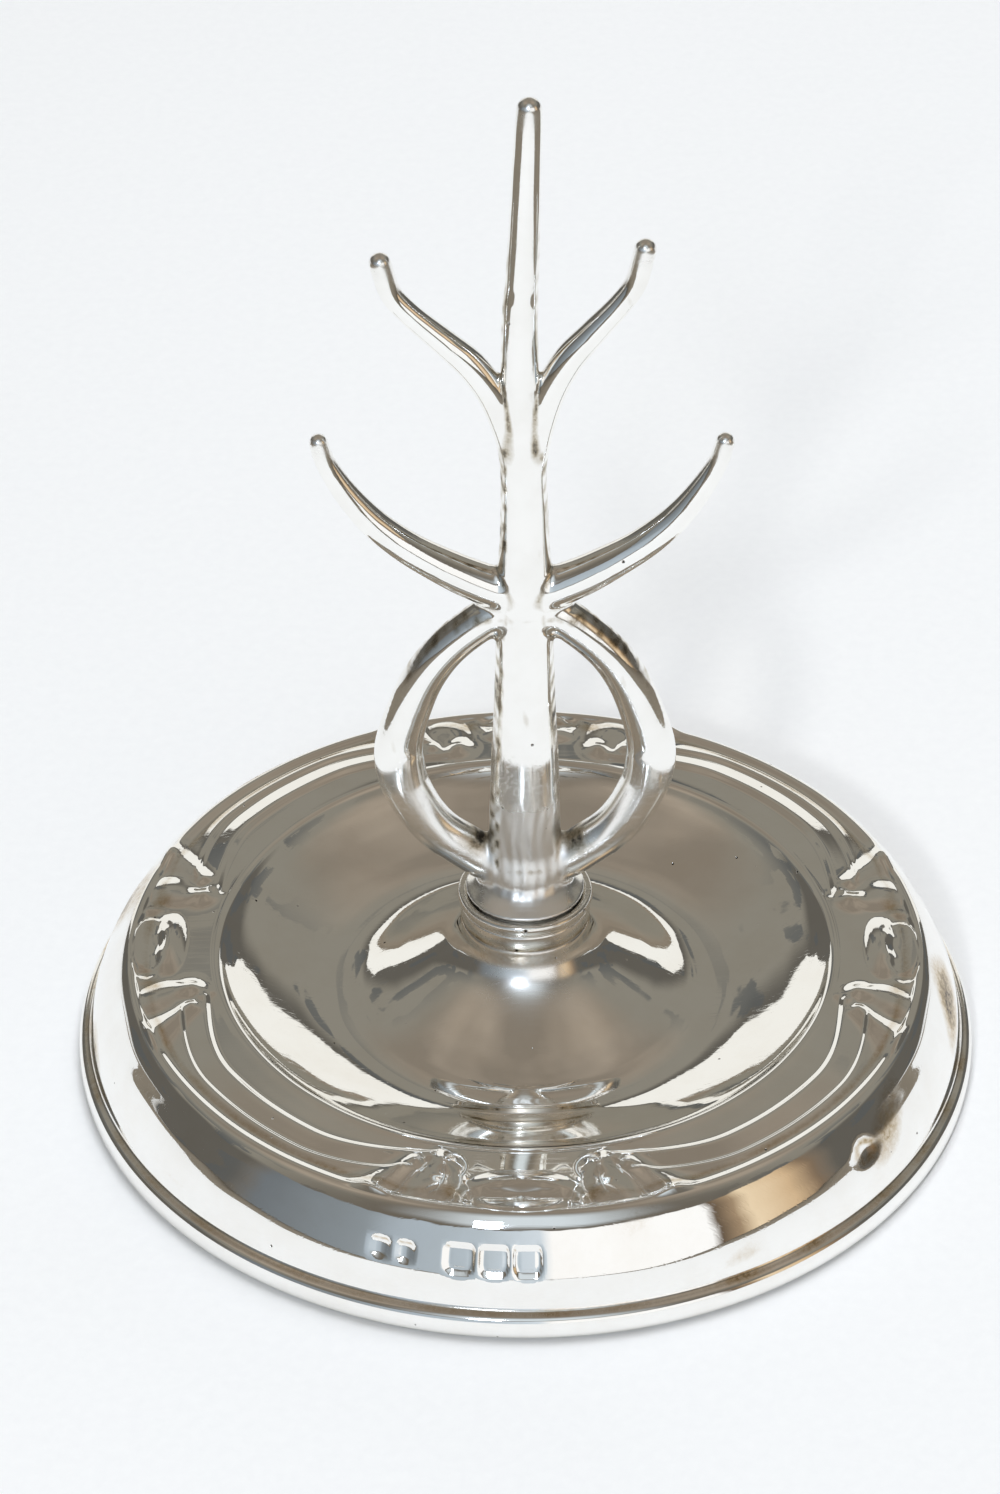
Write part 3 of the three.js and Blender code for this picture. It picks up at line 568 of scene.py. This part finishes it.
def blank_punches(radius, angle, height):
    """How deep the bare punch marks on the front of the skirt are sunk, in millimetres."""
    across = (angle + math.pi / 2) * PUNCH_RADIUS
    rise = height - PUNCH_HEIGHT
    depth = np.zeros(len(radius))
    for middle, half_width, half_height, corner in PUNCHES:
        lean = across - middle
        waist = np.where(rise < 0, half_width * (1 - 0.25 * np.clip(-rise / half_height, 0, 1) ** 3), half_width)
        aside = np.maximum(np.abs(lean) - waist + corner, 0)
        above = np.maximum(np.abs(rise) - half_height + corner, 0)
        edge = np.sqrt(aside**2 + above**2) - corner
        swell = PUNCH_SWELL * smooth((-edge - 0.3) / 0.35)  # the middle of a mark stands a little higher
        depth = np.maximum(depth, PUNCH_DEPTH * smooth(-edge / 0.25 + 0.5) - swell)
    return depth * (np.abs(rise) < 2.2) * (radius > 33)


def base_shell(tree, material):
    """The stamped sheet from the neck to the foot, with its ornaments, punch marks, dent and hand work."""
    top, sweep = shell_top()
    under = shell_underside()
    profile = np.vstack([top, under])
    shares = np.concatenate([sweep, np.zeros(len(under))])
    piece = turned_mesh(
        tree, "base_shell_sheet", profile, shares, SHELL_COLUMNS, material, ORNAMENTS, COLUMN_CROWDING
    )
    mesh = piece.data
    points = mesh_points(mesh) / MM
    row = np.empty(len(points), np.float32)
    mesh.attributes["row"].data.foreach_get("value", row)
    showing = (row > 0.5) & (row < len(top) - 0.5)
    x, y, z = points.T
    radius, angle = np.hypot(x, y), np.arctan2(y, x)
    stamped = showing & (radius > 26.2) & (radius < 33.4) & (z > 8.9)
    z[stamped] = chase_ornaments(radius[stamped], angle[stamped], z[stamped])
    # hand work: the sheet is never quite true
    loose = showing & (radius > 6.2)
    calm = smooth((radius - 6) / 4) * smooth((37.4 - radius) / 1.5)
    z[loose] += (0.045 * calm * ripple(points, 17, 3) + 0.018 * calm * ripple(points, 6, 4))[loose]
    sink = blank_punches(radius, angle, z) * showing
    across, up = (angle - DENT_TURN) * DENT_RADIUS / DENT_HALF_WIDTH, (z - DENT_HEIGHT) / DENT_HALF_HEIGHT
    sink = sink + DENT_DEPTH * (np.exp(-(across**2) - up**2) * (radius > 33.5)) * showing
    sway = 0.05 * ripple(points * np.array([1, 1, 0.4]), 9, 5)
    sway = sway * smooth((radius - 33.6) / 1.0) * smooth((z - 2.6) / 1.5)
    inward = 1 - (sink - sway * showing) / radius
    points = np.stack([x * inward, y * inward, z], 1)
    mesh.vertices.foreach_set("co", (points * MM).astype(np.float32).ravel())
    write_attribute(mesh, "tarnish_and_edge_shade", shell_tarnish(points, radius, angle, sink))
    worn = smooth((10.5 - radius) / 3.5) * smooth((-y / radius - 0.5) / 0.4)  # the cloth has dulled the front
    write_attribute(mesh, "dull", 0.01 + 0.5 * worn + 0.08 * (radius > 37))
    mesh.attributes.remove(mesh.attributes["row"])
    settle(piece, "sheet_silver", "base_shell")


def shell_tarnish(points, radius, angle, sink):
    """Where the polishing cloth never reaches: 0 clean, 1 black."""
    z = points[:, 2]
    uneven = 0.5 + 0.5 * ripple(points, 5, 11)
    along = np.abs(from_ornament(angle)) * radius
    neck = smooth((5.7 - radius) / 0.25) * (0.1 + 0.6 * uneven**2)
    foot = smooth((2.7 - z) / 0.2) * smooth((z - 2.15) / 0.2) * (0.1 + 0.6 * uneven**2)
    bottom = smooth((0.6 - z) / 0.4) * 0.35 * uneven
    groove = np.exp(-(((radius - 32.1) / 0.35) ** 2)) * (z > 8.5) * (0.15 + 0.35 * uneven)
    beside = np.exp(-(((along - 5.6) / 1.0) ** 2) - ((radius - 31.6) / 0.8) ** 2) * 0.5
    marks = smooth((sink - 0.06) / 0.06) * smooth((0.27 - sink) / 0.05) * 0.5 * (radius > 33.4)
    stain = np.maximum(ripple(points, 11, 21) - 0.25, 0) * smooth((radius - 33.2) / 0.6) * smooth((z - 3) / 1) * 1.4
    return np.clip(np.max([neck, foot, bottom, groove, beside, marks, stain], 0), 0, 1)


def collar(tree, material):
    """The short tube soldered on the neck, and the wire rolled round its top."""
    band = [(4.75, 13.22), (5.36, 13.22), (5.4, 13.3), (5.4, 13.9), (5.4, 14.5), (5.37, 14.62), (5.3, 14.68)]
    band += [(5.36, 14.74), (5.4, 14.8), (5.38, 14.84), (4.75, 14.84)]
    piece = turned_mesh(tree, "collar_band", np.array(band), [0] * len(band), 200, material)
    dress_collar(piece, 13.22, 0.45)
    settle(piece, "collar_silver", "neck_collar")
    wire = [(4.75, 14.86), (5.34, 14.86)]
    for turn in np.radians(np.linspace(-70, 110, 15)):
        wire.append((5.38 + 0.27 * math.cos(turn), 15.4 + 0.48 * math.sin(turn)))
    wire += [(5.1, 15.86), (4.9, 15.74), (4.78, 15.5)]
    piece = turned_mesh(tree, "collar_wire_roll", np.array(wire), [0] * len(wire), 200, material)
    dress_collar(piece, 14.86, 0.25)
    settle(piece, "collar_silver", "collar_wire")


def dress_collar(piece, bottom, most):
    """Slight bends in the collar, and tarnish that is strongest along its lower joint."""
    mesh = piece.data
    points = mesh_points(mesh) / MM
    radius = np.hypot(points[:, 0], points[:, 1])
    bend = 1 + 0.006 * ripple(points, 4, 31) * (radius > 5.1)
    points[:, :2] *= np.minimum(bend, 5.65 / radius)[:, None]
    mesh.vertices.foreach_set("co", (points * MM).astype(np.float32).ravel())
    low = smooth((bottom + 0.35 - points[:, 2]) / 0.3)
    inside = smooth((5.0 - radius) / 0.2) * (np.abs(points[:, 0]) / radius) ** 2
    uneven = 0.5 + 0.5 * ripple(points, 2.5, 32)
    write_attribute(mesh, "tarnish_and_edge_shade", np.clip(np.maximum(low * most * 2 * uneven, inside * 0.15), 0, 1))
    write_attribute(mesh, "dull", np.full(len(points), 0.2))
    mesh.attributes.remove(mesh.attributes["row"])


# ---------------------------------------------------------------- the cast tree
def bar(rows, depth_share, step=0.5):
    """A bar's middle line in the XZ plane with its half widths, ready for measuring distances."""
    line = rounded_line(rows, step)
    return {"line": line[:, :2], "half": line[:, 2] / 2, "depth": depth_share}


def tree_bars():
    """Stem, hoop halves and arms with how softly each one runs into the rest."""
    upright = [(x, z, width) for z, width, x in STEM_ROWS]
    foot = [(x, z, width) for z, width, x in TREE_FOOT_ROWS]
    made = [(bar(upright, STEM_DEPTH), 0.5), (bar(foot, 1.0, 0.2), 0.9)]
    for side in (-1, 1):
        made.append((bar([(side * x, z, width) for x, z, width in HOOP_ROWS], HOOP_DEPTH), 0.8))
    for arms, rows, soft in ((LOWER_ARMS, LOWER_ARM_ROWS, 0.6), (UPPER_ARMS, UPPER_ARM_ROWS, 0.35)):
        for reach, root, rise in arms:
            made.append((bar([(reach * out, root + rise * up, width) for out, up, width in rows], ARM_DEPTH), soft))
    return made


def nearest(piece, x, z):
    """Distance in the plane from a bar's middle line, and the bar's half width there."""
    line, half = piece["line"], piece["half"]
    best = np.full(x.shape, 1e9)
    width = np.zeros(x.shape)
    for i in range(len(line) - 1):
        (ax, az), (bx, bz) = line[i], line[i + 1]
        dx, dz = bx - ax, bz - az
        t = np.clip(((x - ax) * dx + (z - az) * dz) / (dx * dx + dz * dz + 1e-12), 0, 1)
        gap = (x - ax - t * dx) ** 2 + (z - az - t * dz) ** 2
        closer = gap < best
        best = np.where(closer, gap, best)
        width = np.where(closer, half[i] + t * (half[i + 1] - half[i]), width)
    return np.sqrt(best), width


def bar_distance(gap, width, y, depth_share):
    """Distance from a bar's skin, from the distance in the plane and the place in front of or behind it."""
    rho = np.sqrt(gap**2 + y**2) + 1e-9
    reach = np.sqrt((gap / width) ** 2 + (y / (width * depth_share)) ** 2) + 1e-9
    return rho - rho / reach


def blend(a, b, soft):
    """The nearer of two distances, with a filled joint where they are about the same."""
    share = np.clip(0.5 + 0.5 * (b - a) / soft, 0, 1)
    return b + (a - b) * share - soft * share * (1 - share)


def tree_field(bars, x, y, z, planes=None):
    """Distance from the cast tree's skin, below zero inside. planes holds each bar's distances in the plane."""
    total = None
    for number, (piece, soft) in enumerate(bars):
        gap, width = planes[number] if planes else nearest(piece, x, z)
        reach = bar_distance(gap, width, y, piece["depth"])
        total = reach if total is None else blend(total, reach, soft)
    file_marks = 0.012 * np.sin(0.9 * x + 0.5 * z + 1.1) * np.sin(0.4 * z - 1.1 * y)
    low = smooth((26.5 - z) / 1.5) * smooth((z - 16.5) / 1.5) * smooth((3.6 - np.abs(x)) / 0.8)
    scrape = 0.035 * np.sin(7.3 * x + 1.2 * np.sin(0.9 * z))
    scrape = scrape + 0.03 * np.sin(4.1 * x + 0.5 * z + 1) * np.sin(0.7 * z + 1)
    return np.maximum(total + file_marks + low * scrape, CAST_BOTTOM - z)


def surface_net(field, low, step):
    """Closed quad mesh of a field's zero level: one point in each cell that the skin passes through."""
    inside = field < 0
    shape = tuple(n - 1 for n in field.shape)
    total, count = np.zeros(shape + (3,)), np.zeros(shape)
    corner = [(i, j, k) for i in (0, 1) for j in (0, 1) for k in (0, 1)]

    def cut(block, at):
        return block[tuple(slice(first, first + size) for first, size in zip(at, shape))]

    for start in corner:
        for axis in range(3):
            if start[axis]:
                continue
            end = tuple(1 if i == axis else start[i] for i in range(3))
            a, b = cut(field, start), cut(field, end)
            crossing = cut(inside, start) != cut(inside, end)
            t = np.where(crossing, a / np.where(crossing, a - b, 1), 0)
            for i in range(3):
                total[..., i] += crossing * (t if i == axis else start[i])
            count += crossing
    cells = np.argwhere(count > 0)
    found = count > 0
    points = low + (cells + total[found] / count[found][:, None]) * step
    number = np.full(shape, -1)
    number[found] = np.arange(len(cells))
    faces = []
    for axis in range(3):
        one, two = (axis + 1) % 3, (axis + 2) % 3
        first = np.take(inside, np.arange(field.shape[axis] - 1), axis)
        second = np.take(inside, np.arange(1, field.shape[axis]), axis)
        at = np.argwhere(first != second)
        at = at[(at[:, one] > 0) & (at[:, two] > 0) & (at[:, one] < shape[one]) & (at[:, two] < shape[two])]
        leaving = first[tuple(at.T)]
        ring = []
        for back_one, back_two in ((0, 0), (1, 0), (1, 1), (0, 1)):
            spot = at.copy()
            spot[:, one] -= back_one
            spot[:, two] -= back_two
            ring.append(number[tuple(spot.T)])
        ring = np.stack(ring, 1)
        faces.append(np.where(leaving[:, None], ring, ring[:, ::-1]))
    return points, np.vstack(faces)


def cast_tree(material):
    """Stem, hoop, arms and foot as one smooth casting with soldered, filled joints."""
    bars = tree_bars()
    low, high = np.array(CAST_LOW), np.array(CAST_HIGH)
    counts = np.ceil((high - low) / CAST_VOXEL).astype(int) + 1
    x, y, z = (low[i] + np.arange(counts[i]) * CAST_VOXEL for i in range(3))
    flat_x, flat_z = np.meshgrid(x, z, indexing="ij")
    planes = [tuple(v[:, None, :] for v in nearest(piece, flat_x, flat_z)) for piece, _ in bars]
    field = tree_field(bars, x[:, None, None], y[None, :, None], z[None, None, :], planes)
    points, faces = surface_net(field, low, CAST_VOXEL)
    for _ in range(2):  # each point moves onto the true skin, so that reflections run smooth
        value = tree_field(bars, *points.T)
        small = 0.02
        slope = np.stack(
            [(tree_field(bars, *(points + small * np.eye(3)[i]).T) - value) / small for i in range(3)], 1
        )
        length = np.maximum((slope**2).sum(1), 0.25)
        points = points - np.clip(value / length, -0.2, 0.2)[:, None] * slope
    mesh = bpy.data.meshes.new("cast_tree")
    mesh.from_pydata((points * MM).tolist(), [], faces.tolist())
    mesh.materials.append(material)
    piece = face_outwards(mesh_object("cast_tree", mesh))
    # tarnish in the crotches, plus painted shade along the stem's sides
    write_attribute(mesh, "tarnish_and_edge_shade", tree_tarnish_and_edge_shade(bars, points))
    write_attribute(mesh, "dull", tree_wear(points))
    settle(
        piece, "cast_silver", "stem", "tree_foot", "hoop_left", "hoop_right",
        "lower_arm_left", "lower_arm_right", "upper_arm_left", "upper_arm_right",
    )


def tree_wear(points):
    """Satin where rings and the cloth rub: the low end of the casting and the five tips."""
    x, _, z = points.T
    low = 0.3 * smooth((31 - z) / 4) + 0.35 * smooth((26.5 - z) / 2) * smooth((4 - np.abs(x)) / 1)
    tips = [(0, STEM_ROWS[-1][0])] + [(reach, root + rise) for reach, root, rise in LOWER_ARMS + UPPER_ARMS]
    near = np.max([np.exp(-((x - tip_x) ** 2 + (z - tip_z) ** 2) / 2.6) for tip_x, tip_z in tips], 0)
    return 0.04 + low + 0.45 * near


def tree_tarnish_and_edge_shade(bars, points):
    """Black in the crotches: where a point is close to two bars at once. Also painted shade along the stem's sides.
    """
    x, y, z = points.T
    reaches, shares = [], []
    for piece, _ in bars:
        gap, width = nearest(piece, x, z)
        reaches.append(bar_distance(gap, width, y, piece["depth"]))
        shares.append(gap / width)
    close = np.sort(np.stack(reaches), 0)[1]
    uneven = 0.5 + 0.5 * ripple(points, 2.2, 41)
    joint = smooth((0.34 - close) / 0.3) * (0.35 + 0.65 * uneven) * (1 - 0.9 * smooth((3.5 - np.abs(z - 56.5)) / 2))
    buried = smooth((16.4 - z) / 0.5) * smooth((np.abs(x) - 2.6) / 1.3) * (0.05 + 0.25 * uneven)
    streak = np.maximum(ripple(points * np.array([1, 1, 0.5]), 1.6, 42) - 0.6, 0) * 0.9
    # painted shade: speckled dark bands along the stem's sides stand in for the dark surroundings mirrored there,
    # with real dark specks in them; dark specks over the hoop's shoulders, residue in the bottom of the hoop
    speck = np.clip(0.45 + 0.75 * ripple(points, 0.9, 43) + 0.5 * ripple(points, 3.5, 44), 0, 1)
    on_stem = smooth((0.35 - np.abs(reaches[0])) / 0.2)
    # painted shade: the stem's sides darkened as though they mirrored dark surroundings
    sides = on_stem * smooth((shares[0] - 0.64 - 0.1 * (x > 0)) / 0.16) * smooth((86 - z) / 20) * 0.75 * speck
    from_middle = np.hypot(x, (z - 31.3) * 0.85)
    shoulder = smooth((from_middle - 10.7) / 0.5) * smooth((z - 36) / 2.5) * smooth((44.6 - z) / 0.8) * 0.75 * speck
    residue = np.exp(-(((np.abs(x) - 3.9) / 1.3) ** 2) - ((z - 21.6) / 1.1) ** 2) * (0.35 + 0.8 * uneven)
    return np.clip(np.max([joint, buried, sides, shoulder, residue], 0) + streak, 0, 1)


# ---------------------------------------------------------------- under the base
def baize_disc(tree, material):
    """The round of baize under the foot, its cut edge slightly soft."""
    edge = [(0, 0.02), (20, 0.0), (36.2, 0.0), (36.7, 0.06), (36.95, 0.25), (37, 0.5), (36.95, 0.8), (36.8, 0.99)]
    edge.append((0, 1.0))
    piece = turned_mesh(tree, "baize_round", np.array(edge), [0] * len(edge), 180, material)
    piece.data.attributes.remove(piece.data.attributes["row"])
    settle(piece, "baize", "baize_pad")


def hidden_solids():
    """Board and loading stay as they were built, with their own finishes."""
    for node, material in (("base_board", sawn_board()), ("loading_core", poured_pitch())):
        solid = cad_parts[node]
        solid.data.materials.clear()
        solid.data.materials.append(material)


# ---------------------------------------------------------------- floor, light and camera
def pale_floor():
    """A plain floor of matt white paper, big enough to fill every view."""
    made, tree, place = new_material("matt_white_paper")
    fibre = noise(tree, place, 900, 4, 0.7)
    colour = mix(tree, fibre, "#f1f3f5", "#f9fbfc")
    bump = relief(tree, fibre, 0.25, 0.05)
    finish_material(tree, colour, 0.9, bump, 0.0)
    sides = 96
    turns = np.arange(sides) * 2 * math.pi / sides
    far = FLOOR_RADIUS * MM
    points = [(0.0, 0.0, 0.0)] + [(far * math.cos(t), far * math.sin(t), 0.0) for t in turns]
    mesh = bpy.data.meshes.new("pale_floor")
    mesh.from_pydata(points, [], [(0, 1 + i, 1 + (i + 1) % sides) for i in range(sides)])
    mesh.materials.append(made)
    mesh_object("pale_floor", mesh)


def studio_flags():
    """Dark cards left and right of the paper. Only the silver sees them: they end the white in its reflections."""
    made, tree, place = new_material("grey_felt_flags")
    weave = noise(tree, place, 12, 4, 0.6)
    colour = mix(tree, weave, "#6d665b", "#938a7c")
    bump = relief(tree, weave, 0.2, 0.2)
    finish_material(tree, colour, 0.9, bump, 0.0)
    side, back, far, lift = PAPER_SIDE, PAPER_WIDENS, 0.9 * FLOOR_RADIUS, 0.6
    for name, low_x, high_x, low_y, high_y in (
        ("flag_left", -far, -side, -far, back), ("flag_right", side, far, -far, back),
    ):
        corners = [(low_x, low_y), (high_x, low_y), (high_x, high_y), (low_x, high_y)]
        mesh = bpy.data.meshes.new(name)
        mesh.from_pydata([(x * MM, y * MM, lift * MM) for x, y in corners], [], [(0, 1, 2, 3)])
        mesh.materials.append(made)
        card = mesh_object(name, mesh)
        card.visible_camera = card.visible_diffuse = card.visible_shadow = False


def room_light():
    """White paper that rises behind, low down, and a dim taupe room round it. The camera sees pale grey."""
    world = bpy.data.worlds.new("studio")
    bpy.context.scene.world = world
    world.use_nodes = True
    tree = world.node_tree
    tree.nodes.clear()
    way = add(tree, "ShaderNodeTexCoord", out="Generated")
    across = add(tree, "ShaderNodeSeparateXYZ", way, out="X")
    back = add(tree, "ShaderNodeSeparateXYZ", way, out="Y")
    rise = add(tree, "ShaderNodeSeparateXYZ", way, out="Z")
    shape = noise(tree, way, 1.5, 3)
    shape = span(tree, shape, 0.35, 0.65, 0, 1)
    wall = mix(tree, shape, "#857c70", "#a89c8d")
    # darker towards the paper, with slate patches low down
    lift = span(tree, rise, 0.66, 0.86, 0, 1, soft=True)
    wall = mix(tree, lift, "#89857b", wall)
    lift = span(tree, rise, 0.38, 0.5, 0, 1, soft=True)
    wall = mix(tree, lift, "#605d57", wall)
    patch = noise(tree, way, 4.5, 3, 0.45)
    patch = span(tree, patch, 0.54, 0.56, 0, 0.75)
    low = span(tree, rise, 0.5, 0.72, 1, 0)
    patch = calc(tree, "MULTIPLY", patch, low)
    wall = mix(tree, patch, wall, "#585b5c")
    near = span(tree, back, -0.7, -0.1, 1, 0, soft=True)
    wall = mix(tree, near, wall, "#6a645b")
    # the paper behind: up to 21 degrees high and 34 degrees to each side, with a slightly wavy edge
    edge = noise(tree, way, 9, 2)
    wavy = span(tree, edge, 0.3, 0.7, -0.02, 0.02)
    top = calc(tree, "ADD", rise, wavy)
    low = span(tree, top, 0.362, 0.37, 1, 0)
    reach = calc(tree, "MULTIPLY", back, 0.67)
    reach = calc(tree, "ADD", reach, wavy)
    side = calc(tree, "ABSOLUTE", across)
    inside = calc(tree, "LESS_THAN", side, reach)
    paper = calc(tree, "MULTIPLY", low, inside)
    wall = mix(tree, paper, wall, "#f2f1ec")
    # the window, from the horizon to 27 degrees up
    front = calc(tree, "MULTIPLY", back, -1)
    turn = calc(tree, "ARCTAN2", across, front)
    turn = span(tree, turn, -math.pi, math.pi, 0, 1)
    pane = add(tree, "ShaderNodeValToRGB", turn)
    ramp = pane.node.color_ramp
    while len(ramp.elements) < len(WINDOW_ROWS):
        ramp.elements.new(0.5)
    for stop, (degrees, colour, share) in zip(ramp.elements, WINDOW_ROWS):
        stop.position, stop.color = (degrees + 180) / 360, linear(colour)[:3] + (share,)
    # a soft pale strip from about 30 to 80 degrees up over the front: the streak down the cone
    beside = calc(tree, "SUBTRACT", turn, 0.503)
    beside = calc(tree, "ABSOLUTE", beside)
    glow = span(tree, beside, 0.02, 0.12, 1, 0, soft=True)
    above = span(tree, rise, 0.48, 0.6, 0, 1, soft=True)
    glow = calc(tree, "MULTIPLY", glow, above)
    above = span(tree, rise, 0.78, 0.99, 0.9, 0, soft=True)
    glow = calc(tree, "MULTIPLY", glow, above)
    wall = mix(tree, glow, wall, "#dbe5ec")
    sill = span(tree, top, 0.45, 0.47, 1, 0)
    shown = calc(tree, "MULTIPLY", pane.node.outputs["Alpha"], sill)
    wall = mix(tree, shown, wall, pane)
    seen = add(tree, "ShaderNodeLightPath", out="Is Camera Ray")
    wall = mix(tree, seen, wall, "#f0f1f1")
    add(tree, "ShaderNodeOutputWorld", add(tree, "ShaderNodeBackground", wall, 1.0))


def soft_box(name, place, target, size, watts, colour, mirrored):
    """A soft box. One that isn't mirrored lights the paper without showing as a patch in the silver."""
    light = bpy.data.lights.new(name, "AREA")
    light.shape = "RECTANGLE"
    light.size, light.size_y = (s * MM for s in size)
    light.energy = watts
    light.color = linear(colour)[:3]
    lamp = bpy.data.objects.new(name, light)
    bpy.context.scene.collection.objects.link(lamp)
    lamp.location = Vector(place) * MM
    lamp.rotation_euler = (Vector(place) - Vector(target)).to_track_quat("Z", "Y").to_euler()
    lamp.visible_camera = False
    lamp.visible_glossy = mirrored


def camera():
    """Looks down on the front at about 36 degrees from 380 mm away, level but for a third of a degree."""
    back = Vector((0, -math.cos(CAMERA_RISE), math.sin(CAMERA_RISE)))
    right = Vector((1, 0, 0))
    up = back.cross(right)
    turned_right = right * math.cos(CAMERA_ROLL) + up * math.sin(CAMERA_ROLL)
    turned_up = up * math.cos(CAMERA_ROLL) - right * math.sin(CAMERA_ROLL)
    data = bpy.data.cameras.new("camera")
    data.sensor_width = FILM_LENGTH
    data.lens = FILM_LENGTH * FOCAL_PIXELS / PICTURE_PIXELS
    data.clip_start, data.clip_end = 0.01, 20
    made = bpy.data.objects.new("camera", data)
    bpy.context.scene.collection.objects.link(made)
    place = (Vector(CAMERA_TARGET) + back * CAMERA_DISTANCE) * MM
    turn = Matrix((turned_right, turned_up, back)).transposed().to_4x4()
    made.matrix_world = Matrix.Translation(place) @ turn
    bpy.context.scene.camera = made


def build():
    """Everything in the scene, in order."""
    bpy.context.scene.view_settings.view_transform = "Standard"
    camera()
    turned = turned_tree()
    sheet = stamped_sheet_silver()
    base_shell(turned, sheet)
    collar(turned, rolled_wire_silver())
    cast_tree(cast_silver())
    baize_disc(turned, pressed_baize())
    hidden_solids()
    pale_floor()
    studio_flags()
    room_light()
    for lamp in LAMPS:
        soft_box(*lamp)


build()
